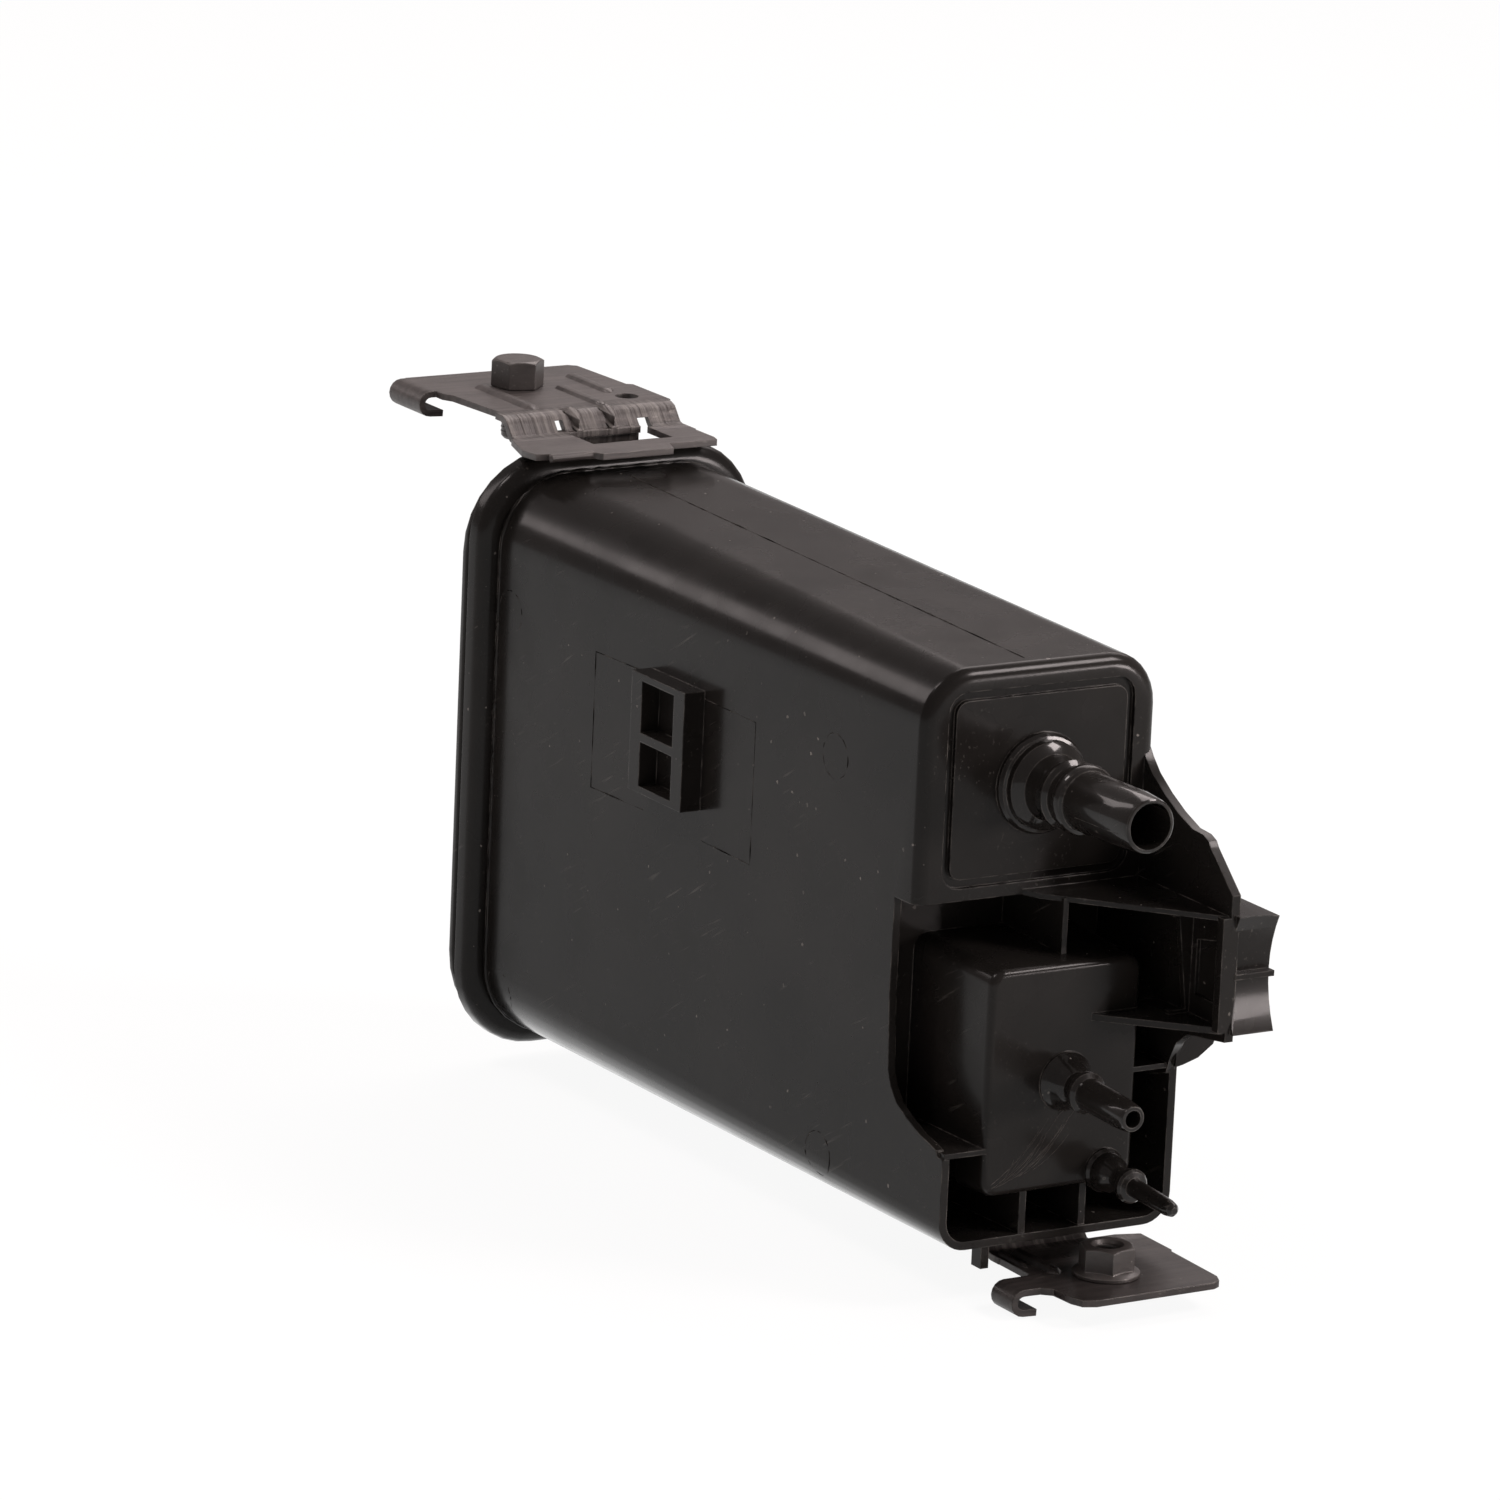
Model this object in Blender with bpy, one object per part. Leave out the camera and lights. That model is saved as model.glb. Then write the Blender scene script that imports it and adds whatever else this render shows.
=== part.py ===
"""Evaporative-emission charcoal canister: moulded housing with pipe ports and a side bracket, a welded
end cover, two steel hanging brackets, and the carbon beds, fleeces, grids, plates and springs inside.

Lengths are in millimetres and scaled to metres when a mesh is made. +X points from the end cover to the
ports, +Y to the side bracket, +Z up. The origin is the middle of the end cover's outer face."""

import math

import bmesh
import bpy

MM = 0.001
GAP = 0.3  # clearance between neighbouring pieces
SEAT = 0.15  # gap left where a piece rests on its neighbour

# Housing
PORT_X = 226.0  # plane of the upper port face
HALF_W_LID, HALF_W_PORT = 38.1, 35.5
HALF_H_LID, HALF_H_PORT = 79.4, 74.5
SHIFT_PORT = 0.6  # how far the port end's middle lies to the side bracket
CORNER_LID, CORNER_PORT, CORNER_LOW_PORT = 21.0, 14.5, 9.0
END_EDGE = 3.6  # rounding of the port face's edge
WALL = 2.5
COVER_T = 4.0
FLANGE_END = 11.0
FLANGE_W, FLANGE_H, FLANGE_R = 43.6, 83.7, 23.0
COVER_R = 27.0
WELD_Z = 13.4  # level of the step between the upper and the lower half
FLOOR_Z = WELD_Z + 2.2  # floor of the upper bed space
PARTITION_T = 2.4
LOWER_WALL_X = PORT_X - 18.0  # plane of the recessed wall behind the lower chamber
CHAMBER_X = PORT_X + 17.8  # front face of the lower chamber, and of the skirt round it
CHAMBER_W, CHAMBER_H, CHAMBER_WALL = 22.9, 30.2, 2.6  # half sizes of its front, and its wall
CHAMBER_Y, CHAMBER_Z = 0.7, -31.0
SKIRT_T = 2.2

# Side bracket
BRACKET_Y, BRACKET_T = HALF_W_PORT - 0.3, 2.5  # outer face of its wall, and the wall
BRACKET_END = PORT_X + 43.4
SHELF_T = 1.4
LOW_SHELF_Z = -15.0
SADDLE_Y, SADDLE_WALL = BRACKET_Y + 11.4, 2.4

# Ports: middle in Y and Z, bore, slope of the axis in Y and Z, and (distance from the face, radius) pairs
LARGE_AT, LARGE_BORE, LARGE_LEAN = (2.4, 43.2), 6.1, (0.03, 0.012)
LARGE_LEN = 49.2
LARGE_PROFILE = [
    (-2.0, 13.4),
    (1.2, 13.4),
    (2.2, 12.7),
    (2.4, 11.9),
    (4.2, 11.7),
    (5.2, 10.7),
    (6.2, 8.9),
    (8.8, 8.2),
    (11.4, 8.2),
    (13.2, 9.2),
    (13.9, 9.2),
    (14.9, 8.0),
    (17.8, 7.8),
    (18.3, 9.0),
    (19.0, 9.4),
    (20.4, 9.4),
    (21.3, 8.9),
    (21.8, 8.0),
    (42.5, 7.9),
    (47.6, 7.4),
    (48.9, 7.1),
    (LARGE_LEN, 6.7),
]
MEDIUM_AT, MEDIUM_BORE, MEDIUM_LEAN = (1.6, -32.2), 2.3, (-0.045, -0.014)
MEDIUM_PROFILE = [
    (-1.5, 7.9),
    (0.7, 7.9),
    (1.7, 7.2),
    (2.7, 6.2),
    (4.6, 5.6),
    (6.2, 4.2),
    (8.8, 4.1),
    (9.4, 5.3),
    (10.1, 5.6),
    (11.4, 5.5),
    (12.2, 4.3),
    (28.6, 4.1),
    (33.0, 3.7),
    (34.2, 3.3),
]
SMALL_AT, SMALL_LEAN = (14.8, -57.6), (-0.025, -0.03)
SMALL_PROFILE = [
    (-1.5, 5.9),
    (0.8, 5.9),
    (1.6, 5.2),
    (3.0, 5.2),
    (5.2, 4.6),
    (7.2, 3.2),
    (9.0, 2.7),
    (12.0, 2.6),
    (12.4, 4.1),
    (13.0, 4.6),
    (14.2, 4.6),
    (14.9, 4.0),
    (15.2, 2.5),
    (31.8, 2.2),
    (33.8, 1.8),
    (34.8, 0.9),
]

# Pad round the large port
PAD_W, PAD_H, PAD_R = 25.9, 23.6, 3.4  # half sizes and corner
PAD_AT = (0.6, 42.6)
GROOVE_W, GROOVE_DEPTH = 2.3, 1.3

# Socket on the near side
SOCKET_X, SOCKET_Z = 93.0, 12.4
SOCKET_L, SOCKET_H = 27.4, 32.5
SOCKET_Y = -42.6  # its outer face
SOCKET_WALL, POCKET_RIM = 5.4, 1.9  # beside its pockets, and above and below them
POCKET_SPLIT_Z, POCKET_WEB = 27.65, 2.5

# Beds
UPPER_END_X = PORT_X - 3.0
LOWER_END_X = LOWER_WALL_X - WALL
PARTITION_START = 22.0
SPRING_END_X = 34.8
PLATE_T = 2.4
FLEECE_T = 2.2
POST_LEN, POST_R = 4.0, 2.4
HOLE_R = 2.6  # holes of the grids and pressure plates

# Brackets
SHEET = 1.8
UPPER_PLATE_Z = 90.6  # top of the upper bracket's plate
UPPER_FOOT_Z = FLANGE_H + SEAT + SHEET  # top of its foot
LOWER_PLATE_Z = -81.7  # top of the lower bracket's plate
LOWER_FOOT_Z = -75.5
BOLT_AF = 13.0  # across the flats of both hexagons
BOLT_D = 8.0
HEAD_T = 7.8
BOLT_X, BOLT_Y = -42.5, -3.0
NUT_X, NUT_Y = PORT_X + 29.5, 9.5
TAB_LEN = 6.0  # how far the upper bracket's middle tab hangs below its foot

SPRINGS = {"vent_spring": (0.0, 43.0), "tank_spring_low": (0.0, -52.0), "tank_spring_high": (0.0, -14.0)}

# Finish: colour, roughness, metallic and the pieces that have it
FINISHES = {
    "moulded_black": ((0.045, 0.042, 0.04), 0.42, 0.0, ("housing", "end_cover")),
    "carbon": ((0.02, 0.02, 0.02), 0.9, 0.0, ("vent_carbon_bed", "tank_carbon_bed")),
    "fleece": (
        (0.72, 0.71, 0.68),
        0.95,
        0.0,
        ("vent_port_fleece", "tank_port_fleece", "vent_lid_fleece", "tank_lid_fleece"),
    ),
    "moulded_grey": (
        (0.32, 0.31, 0.3),
        0.5,
        0.0,
        ("vent_grid", "tank_grid", "vent_pressure_plate", "tank_pressure_plate"),
    ),
    "drawn_wire": ((0.55, 0.55, 0.55), 0.3, 1.0, tuple(SPRINGS)),
    "coated_steel": ((0.09, 0.08, 0.078), 0.45, 0.5, ("upper_bracket", "lower_bracket")),
    "dark_zinc": ((0.1, 0.09, 0.085), 0.4, 0.6, ("upper_bolt", "lower_nut")),
}


def lerp(a, b, t):
    return a + (b - a) * t


def half_w(x):
    return lerp(HALF_W_LID, HALF_W_PORT, x / PORT_X)


def half_h(x):
    return lerp(HALF_H_LID, HALF_H_PORT, x / PORT_X)


def corner(x):
    return lerp(CORNER_LID, CORNER_PORT, x / PORT_X)


def low_corner(x):
    return lerp(CORNER_LID, CORNER_LOW_PORT, x / PORT_X)


def centre_y(x):
    return SHIFT_PORT * x / PORT_X


def near_y(x):
    return centre_y(x) - half_w(x)


def from_port(points):
    """An outline whose first coordinate was measured from the port plane."""
    return [(PORT_X + x, other) for x, other in points]


def make(name, points, faces):
    """A mesh object from millimetre points, with its faces turned outwards."""
    mesh = bpy.data.meshes.new(name)
    mesh.from_pydata([[c * MM for c in p] for p in points], [], faces)
    bm = bmesh.new()
    bm.from_mesh(mesh)
    bmesh.ops.remove_doubles(bm, verts=bm.verts, dist=1e-7)
    twisted = []
    for face in bm.faces:
        face.normal_update()
        middle = face.calc_center_median()
        if len(face.verts) > 3 and max(abs((v.co - middle).dot(face.normal)) for v in face.verts) > 1e-8:
            twisted.append(face)
    bmesh.ops.triangulate(bm, faces=twisted)
    bmesh.ops.recalc_face_normals(bm, faces=bm.faces)
    bm.to_mesh(mesh)
    bm.free()
    obj = bpy.data.objects.new(name, mesh)
    bpy.context.scene.collection.objects.link(obj)
    return obj


def skin(name, rings):
    """A closed skin over rings of equal length, capped at both ends."""
    n = len(rings[0])
    points = [p for ring in rings for p in ring]
    faces = []
    for k in range(len(rings) - 1):
        for i in range(n):
            j = (i + 1) % n
            faces.append((k * n + i, k * n + j, (k + 1) * n + j, (k + 1) * n + i))
    faces.append(tuple(range(n - 1, -1, -1)))
    faces.append(tuple((len(rings) - 1) * n + i for i in range(n)))
    return make(name, points, faces)


def rounded(w, h, r, cy=0.0, cz=0.0, steps=6, low_r=None):
    """(y, z) points of a rounded rectangle of half sizes w and h. The lower corners may have their own radius."""
    points = []
    for sy, sz, start in ((1, 1, 0), (-1, 1, 90), (-1, -1, 180), (1, -1, 270)):
        own = r if sz > 0 or low_r is None else low_r
        for k in range(steps + 1):
            a = math.radians(start + 90 * k / steps)
            points.append((cy + sy * (w - own) + own * math.cos(a), cz + sz * (h - own) + own * math.sin(a)))
    return points


def section(x, inset=0.0, steps=6):
    """The body's outline at a station, inset on all sides."""
    upper, lower = max(corner(x) - inset, 1.0), max(low_corner(x) - inset, 1.0)
    return rounded(half_w(x) - inset, half_h(x) - inset, upper, centre_y(x), 0.0, steps, lower)


def ring_x(x, outline):
    return [(x, y, z) for y, z in outline]


def prism(name, outline, axis, a, b):
    """An outline pushed along an axis from a to b. The outline holds the other two coordinates in order."""
    place = {
        "X": lambda p, c: (c, p[0], p[1]),
        "Y": lambda p, c: (p[0], c, p[1]),
        "Z": lambda p, c: (p[0], p[1], c),
    }[axis]
    return skin(name, [[place(p, a) for p in outline], [place(p, b) for p in outline]])


def block(name, x0, x1, y0, y1, z0, z1):
    return prism(name, [(y0, z0), (y1, z0), (y1, z1), (y0, z1)], "X", x0, x1)


def turned(name, profile, centre, axis="X", sides=32, lean=(0.0, 0.0), lean_from=0.0):
    """A solid turned about an axis through centre, from (along, radius) pairs. An X axis may lean in Y and Z."""
    rings = []
    for along, radius in profile:
        ring = []
        out = along - lean_from
        for k in range(sides):
            a = 2 * math.pi * k / sides
            c, s = radius * math.cos(a), radius * math.sin(a)
            if axis == "X":
                ring.append((along, centre[0] + c + lean[0] * out, centre[1] + s + lean[1] * out))
            elif axis == "Y":
                ring.append((centre[0] + c, along, centre[1] + s))
            else:
                ring.append((centre[0] + c, centre[1] + s, along))
        rings.append(ring)
    return skin(name, rings)


def combine(target, tools, operation):
    """Applies a Boolean with each tool in turn, and removes the tools."""
    for k, tool in enumerate(tools):
        modifier = target.modifiers.new(f"step{k}", "BOOLEAN")
        modifier.operation = operation
        modifier.solver = "MANIFOLD"
        modifier.object = tool
    bpy.context.view_layer.update()
    graph = bpy.context.evaluated_depsgraph_get()
    mesh = bpy.data.meshes.new_from_object(target.evaluated_get(graph))
    target.modifiers.clear()
    target.data = mesh
    for tool in tools:
        bpy.data.objects.remove(tool)
    return target


def union(target, *tools):
    return combine(target, tools, "UNION")


def cut(target, *tools):
    return combine(target, tools, "DIFFERENCE")


def common(target, *tools):
    return combine(target, tools, "INTERSECT")


def body_loft(name, x0, x1, inset=0.0, steps=6):
    """The drafted body between two stations, inset on all sides."""
    return skin(name, [ring_x(x, section(x, inset, steps)) for x in (x0, x1)])


def end_rounding(name, x_end, edge, z_low, steps=8):
    """A cutter that leaves the body's end at x_end with rounded outer edges, above z_low."""
    rings = []
    stations = [(x_end - edge - 0.7, -0.6)]
    for k in range(1, 5):
        a = math.radians(90 * k / 4)
        stations.append((x_end - edge + edge * math.sin(a), edge * (1 - math.cos(a))))
    for x, d in stations:
        rings.append(ring_x(x, section(x, d, steps)))
    outside = block(name, x_end - edge - 0.6, x_end + 80.0, -60.0, 60.0, z_low, 120.0)
    return cut(outside, skin("kept_end", rings))


def side_bracket():
    """Its wall, the upper and the lower shelf, the front return and the rib inside."""
    wall = prism(
        "bracket_wall",
        from_port([
            (-21.0, 49.5),
            (-2.0, 49.5),
            (0.6, 46.2),
            (4.0, 42.8),
            (10.0, 38.9),
            (16.5, 35.6),
            (23.5, 33.0),
            (28.6, 32.7),
            (31.2, 31.6),
            (32.4, 30.0),
            (43.4, 20.2),
            (43.4, -18.6),
            (26.7, -21.0),
            (21.6, -24.6),
            (19.4, -28.6),
            (17.6, -33.8),
            (10.0, -36.0),
            (-21.0, -36.0),
        ]),
        "Y",
        BRACKET_Y - BRACKET_T,
        BRACKET_Y,
    )
    inner_y = BRACKET_Y - 0.4
    shelf_top = WELD_Z + 1.2
    upper_shelf = prism(
        "upper_shelf",
        from_port([(-21.0, -3.0), (-0.2, -3.0), (5.0, -0.6), (43.4, 33.6), (43.4, inner_y), (-21.0, inner_y)]),
        "Z",
        shelf_top - SHELF_T,
        shelf_top,
    )
    lower_shelf = prism(
        "lower_shelf",
        from_port([(12.0, 4.0), (17.4, 8.4), (20.2, 10.4), (43.4, 33.8), (43.4, inner_y), (12.0, inner_y)]),
        "Z",
        LOW_SHELF_Z - SHELF_T - 0.4,
        LOW_SHELF_Z,
    )
    bay_low, bay_high = LOW_SHELF_Z - 1.0, shelf_top - 0.2
    return_x = BRACKET_END - 2.8
    front_return = block("front_return", return_x, BRACKET_END, 30.4, BRACKET_Y - 0.2, bay_low, bay_high)
    rib_x = BRACKET_END - 18.9
    inner_rib = block("inner_rib", rib_x, rib_x + 1.9, 26.5, BRACKET_Y - 0.2, bay_low, bay_high)
    slope = [(20.0, -14.0), (31.6, -14.0), (28.4, 11.0), (20.0, 11.0)]
    inner_rib = cut(inner_rib, prism("inner_rib_slope", slope, "X", rib_x - 5.0, rib_x + 5.0))
    return wall, upper_shelf, lower_shelf, front_return, inner_rib


def saddle():
    """The hollow saddle outside the bracket wall, with its curved front, tab and web."""
    x0 = PORT_X + 17.6
    low, high = LOW_SHELF_Z - 1.6, WELD_Z + 1.4
    front = []
    for k in range(9):
        z = lerp(high, low, k / 8)
        front.append((BRACKET_END - 2.2 + 3.6 * ((z + 1.2) / 15.4) ** 2, z))
    root_y = BRACKET_Y - 1.0
    body = prism("saddle", [(x0, low), (x0, high)] + front, "Y", root_y, SADDLE_Y)
    core_x1 = BRACKET_END - 5.8
    core_y0, core_y1 = BRACKET_Y + SADDLE_WALL, SADDLE_Y - SADDLE_WALL
    tab_low, tab_high = -2.2, -0.7
    roof = [(BRACKET_Y + 1.0, 22.0), (BRACKET_Y + 1.0, high + 0.6), (48.0, high - 0.9), (48.0, 22.0)]
    body = cut(
        body,
        prism("saddle_roof", roof, "X", x0 - 4.0, BRACKET_END + 16.0),
        block("saddle_core", x0 - 4.0, core_x1, core_y0, core_y1, low + SADDLE_WALL, tab_low - 0.5),
        block("saddle_core_up", x0 - 4.0, core_x1, core_y0, core_y1, tab_high + 0.5, high - SADDLE_WALL),
    )
    web = [
        (root_y, -31.8),
        (36.4, -31.4),
        (41.0, -30.0),
        (45.5, -26.8),
        (SADDLE_Y, -24.0),
        (SADDLE_Y, low + 1.2),
        (root_y, low + 1.2),
    ]
    return (
        body,
        prism("saddle_web", web, "X", x0, x0 + 2.2),
        block("saddle_tab", core_x1 - 2.0, BRACKET_END + 0.4, BRACKET_Y - 0.5, SADDLE_Y, tab_low, tab_high),
    )


def port(name, face_x, profile, at, lean, sides, lean_from=None):
    """A turned port from (distance from its face, radius) pairs."""
    pairs = [(face_x + out, radius) for out, radius in profile]
    return turned(name, pairs, at, sides=sides, lean=lean, lean_from=face_x if lean_from is None else lean_from)


def housing():
    body = body_loft("housing", FLANGE_END - 3.0, CHAMBER_X, steps=8)
    near_edge = prism(
        "near_edge",
        from_port([
            (74.0, WELD_Z),
            (-10.1, WELD_Z),
            (-10.5, -12.3),
            (-9.4, -32.3),
            (-7.8, -36.5),
            (-4.8, -40.0),
            (0.0, -42.6),
            (6.4, -45.2),
            (12.0, -46.6),
            (14.6, -47.4),
            (15.4, -48.9),
            (17.2, -48.9),
            (18.8, -50.0),
            (74.0, -50.0),
        ]),
        "Y",
        -60.0,
        10.0,
    )
    far_edge = prism(
        "far_edge",
        from_port([(74.0, WELD_Z), (6.0, WELD_Z), (18.8, -10.0), (74.0, -10.0)]),
        "Y",
        9.0,
        60.0,
    )
    body = cut(body, end_rounding("upper_end", PORT_X, END_EDGE, WELD_Z - 0.6), near_edge, far_edge)
    flange = skin(
        "flange",
        [
            ring_x(x, rounded(FLANGE_W - d, FLANGE_H - d, FLANGE_R - d, steps=8))
            for x, d in (
                (COVER_T + GAP, 0.7),
                (COVER_T + GAP + 0.7, 0.0),
                (FLANGE_END - 2.6, 0.0),
                (FLANGE_END - 1.2, 0.5),
                (FLANGE_END - 0.2, 1.6),
                (FLANGE_END + 0.6, 3.4),
            )
        ],
    )
    body = union(body, flange)

    # The pocket inside the skirt, round the chamber
    pocket = common(
        body_loft("pocket", LOWER_WALL_X, CHAMBER_X + 6.0, inset=SKIRT_T, steps=8),
        block("pocket_half", LOWER_WALL_X - 50.0, CHAMBER_X + 80.0, -60.0, 60.0, -120.0, WELD_Z - 0.7),
    )
    body = cut(body, pocket)

    # Lower chamber with its drafted walls and rounded front edges
    def chamber_ring(x, extra, steps=4):
        draft = (CHAMBER_X - x) * 0.035
        w, h = CHAMBER_W + draft - extra, CHAMBER_H + draft - extra
        return ring_x(x, rounded(w, h, 4.2 - min(extra, 2.5), CHAMBER_Y, CHAMBER_Z, steps))

    chamber = skin(
        "chamber",
        [
            chamber_ring(LOWER_WALL_X - 2.0, 0.0),
            chamber_ring(CHAMBER_X - 2.0, 0.0),
            chamber_ring(CHAMBER_X - 0.9, 0.35),
            chamber_ring(CHAMBER_X - 0.25, 1.0),
            chamber_ring(CHAMBER_X, 1.9),
        ],
    )

    # Ribs round the chamber
    ribs = [
        block("near_rib", LOWER_WALL_X - 1.0, CHAMBER_X - 0.2, -34.0, -20.0, -49.2, -47.8),
        block("far_rib", LOWER_WALL_X - 1.0, CHAMBER_X - 0.2, 20.0, 33.2, -32.4, -31.0),
        block("foot_rib_near", LOWER_WALL_X - 1.0, CHAMBER_X - 0.8, -10.0, -8.0, -73.6, -58.0),
        block("foot_rib_far", LOWER_WALL_X - 1.0, CHAMBER_X - 0.8, 8.3, 10.3, -73.6, -58.0),
        block("top_rib", PORT_X - 21.0, PORT_X + 10.4, 3.2, 4.8, -3.0, WELD_Z + 0.8),
    ]

    # Holding lips for the lower bracket's foot
    lips = []
    lip_x0, lip_x1 = PORT_X - 26.0, PORT_X - 10.0
    low = LOWER_FOOT_Z - SHEET - GAP
    for y0, y1, lip0, lip1 in ((-17.2, -14.6, -17.2, -12.4), (22.2, 24.8, 20.0, 24.8)):
        lips.append(block("lip_side", lip_x0, lip_x1, y0, y1, low - 1.3, -73.4))
        lips.append(block("lip_hook", lip_x0, lip_x1, lip0, lip1, low - 1.3, low))
    lips.append(block("lug", PORT_X + 11.0, PORT_X + 15.4, -19.9, -17.5, -80.8, -72.6))

    # Socket on the near side
    socket_x1, socket_z1 = SOCKET_X + SOCKET_L, SOCKET_Z + SOCKET_H
    wall_y = near_y(SOCKET_X + SOCKET_L / 2)
    socket = block("socket", SOCKET_X, socket_x1, SOCKET_Y, wall_y + 1.2, SOCKET_Z, socket_z1)

    large_end = PORT_X + LARGE_LEN
    large = port("large_port", PORT_X, LARGE_PROFILE, LARGE_AT, LARGE_LEAN, 32, lean_from=large_end)
    medium = port("medium_port", CHAMBER_X, MEDIUM_PROFILE, MEDIUM_AT, MEDIUM_LEAN, 24)
    small = port("small_port", CHAMBER_X, SMALL_PROFILE, SMALL_AT, SMALL_LEAN, 20)
    body = union(body, chamber, *side_bracket(), *saddle(), *ribs, *lips, socket, large, medium, small)

    # Socket pockets, the groove round the port pad and the window in the side bracket
    pockets = []
    for z0, z1 in (
        (SOCKET_Z + POCKET_RIM, POCKET_SPLIT_Z - POCKET_WEB / 2),
        (POCKET_SPLIT_Z + POCKET_WEB / 2, socket_z1 - POCKET_RIM),
    ):
        x0, x1 = SOCKET_X + SOCKET_WALL, socket_x1 - SOCKET_WALL
        pockets.append(block("socket_pocket", x0, x1, SOCKET_Y - 8.0, wall_y - 0.5, z0, z1))
    outer = rounded(PAD_W + GROOVE_W, PAD_H + GROOVE_W, PAD_R + 2.0, *PAD_AT, 4)
    groove = cut(
        prism("groove", outer, "X", PORT_X - GROOVE_DEPTH, PORT_X + 0.6),
        prism("groove_core", rounded(PAD_W, PAD_H, PAD_R, *PAD_AT, 4), "X", PORT_X - 3.0, PORT_X + 3.0),
    )
    pane = from_port([(28.6, -9.6), (38.4, -9.6), (38.4, 7.0), (28.6, 5.0)])
    window = prism("window", pane, "Y", BRACKET_Y - 4.0, BRACKET_Y - 1.5)

    # The two bed spaces, open at the lid end
    upper_space = common(
        body_loft("upper_space", -5.0, UPPER_END_X, inset=WALL, steps=6),
        block("upper_side", -10.0, PORT_X + 14.0, -60.0, 60.0, FLOOR_Z, 120.0),
    )
    lower_space = common(
        body_loft("lower_space", -5.0, LOWER_END_X, inset=WALL, steps=6),
        block("lower_side", -10.0, PORT_X + 14.0, -60.0, 60.0, -120.0, FLOOR_Z - PARTITION_T),
    )
    joined = common(
        body_loft("joined_space", -5.5, PARTITION_START, inset=WALL, steps=6),
        block("joined_side", -20.0, 60.0, -60.0, 60.0, -40.0, 60.0),
    )
    space_w, space_h = CHAMBER_W - CHAMBER_WALL, CHAMBER_H - CHAMBER_WALL
    chamber_space = skin(
        "chamber_space",
        [
            ring_x(x, rounded(space_w + d, space_h + d, 3.0, CHAMBER_Y, CHAMBER_Z, 3))
            for x, d in ((LOWER_END_X - 3.0, 0.3), (CHAMBER_X - 2.4, -0.3))
        ],
    )
    large_hole = [(-7.0, LARGE_BORE), (LARGE_LEN + 10.0, LARGE_BORE)]
    medium_hole = [(-6.0, MEDIUM_BORE), (60.0, MEDIUM_BORE)]
    bores = [
        port("large_bore", PORT_X, large_hole, LARGE_AT, LARGE_LEAN, 24, lean_from=large_end),
        port("medium_bore", CHAMBER_X, medium_hole, MEDIUM_AT, MEDIUM_LEAN, 16),
    ]
    body = cut(body, *pockets, groove, window, upper_space, lower_space, joined, chamber_space, *bores)

    # Posts that hold the port-side grids off the end walls
    posts = []
    for y, z in ((-20.0, 28.0), (22.0, 28.0), (-20.0, 60.0), (22.0, 60.0)):
        posts.append(turned("post", [(UPPER_END_X - POST_LEN, POST_R), (UPPER_END_X + 1.0, POST_R)], (y, z), sides=8))
    for y, z in ((-28.0, 2.0), (28.0, 2.0), (-28.0, -60.0), (28.0, -60.0)):
        posts.append(turned("post", [(LOWER_END_X - POST_LEN, POST_R), (LOWER_END_X + 1.0, POST_R)], (y, z), sides=8))
    return union(body, *posts)


def end_cover():
    cover = skin(
        "end_cover",
        [
            ring_x(x, rounded(FLANGE_W - d, FLANGE_H - d, COVER_R - d, steps=8))
            for x, d in (
                (0.0, 2.4),
                (0.25, 1.3),
                (0.9, 0.5),
                (1.9, 0.0),
                (COVER_T - 0.5, 0.0),
                (COVER_T, 0.5),
            )
        ],
    )
    inset = WALL + GAP
    x0, x1 = COVER_T - 0.5, COVER_T + 4.0

    spigot = cut(
        prism("spigot", section(x1, inset), "X", x0, x1),
        prism("spigot_core", section(x1, inset + 1.6), "X", x0 - 1.0, x1 + 1.0),
    )
    seats = []
    for centre in SPRINGS.values():
        seats.append(turned("seat", [(x0, 6.4), (x1 - 1.0, 6.4), (x1, 5.4)], centre, sides=16))
    return union(cover, spigot, *seats)


def bed_piece(name, x0, x1, upper):
    """A block that fills one bed space between two stations, clear of the walls."""
    piece = body_loft(name, x0, x1, inset=WALL + GAP, steps=5)
    if upper:
        side = block("side", -20.0, PORT_X + 34.0, -60.0, 60.0, FLOOR_Z + GAP, 120.0)
    else:
        side = block("side", -20.0, PORT_X + 34.0, -60.0, 60.0, -120.0, FLOOR_Z - PARTITION_T - GAP)
    return common(piece, side)


def screen(name, x0, x1, upper):
    """A perforated plate across one bed space."""
    plate = bed_piece(name, x0, x1, upper)
    columns = 5
    rows, centre, span = (5, 43.4, 44.0) if upper else (6, -30.8, 68.0)
    holes = []
    for i in range(rows):
        for j in range(columns):
            y = lerp(-24.0, 24.0, j / (columns - 1))
            z = centre + span * (i / (rows - 1) - 0.5)
            holes.append(turned("hole", [(x0 - 1.0, HOLE_R), (x1 + 1.0, HOLE_R)], (y, z), sides=8))
    merged = union(holes[0], *holes[1:])
    return cut(plate, merged)


def spring(name, centre, x0, x1, radius=9.0, wire=0.9, turns=4.0, steps=14, sides=6):
    """A compression spring along X with its wire swept round a helix."""
    rings = []
    count = int(turns * steps)
    for k in range(count + 1):
        t = k / count
        a = 2 * math.pi * turns * t
        x = lerp(x0 + wire, x1 - wire, t)
        cy, cz = math.cos(a), math.sin(a)
        ring = []
        for m in range(sides):
            b = 2 * math.pi * m / sides
            out = radius + wire * math.cos(b)
            ring.append((x + wire * math.sin(b), centre[0] + out * cy, centre[1] + out * cz))
        rings.append(ring)
    return skin(name, rings)


def hexagon(af, cx, cy, turn):
    r = af / math.sqrt(3.0)
    angles = [math.radians(turn + 60 * k) for k in range(6)]
    return [(cx + r * math.cos(a), cy + r * math.sin(a)) for a in angles]


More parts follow.
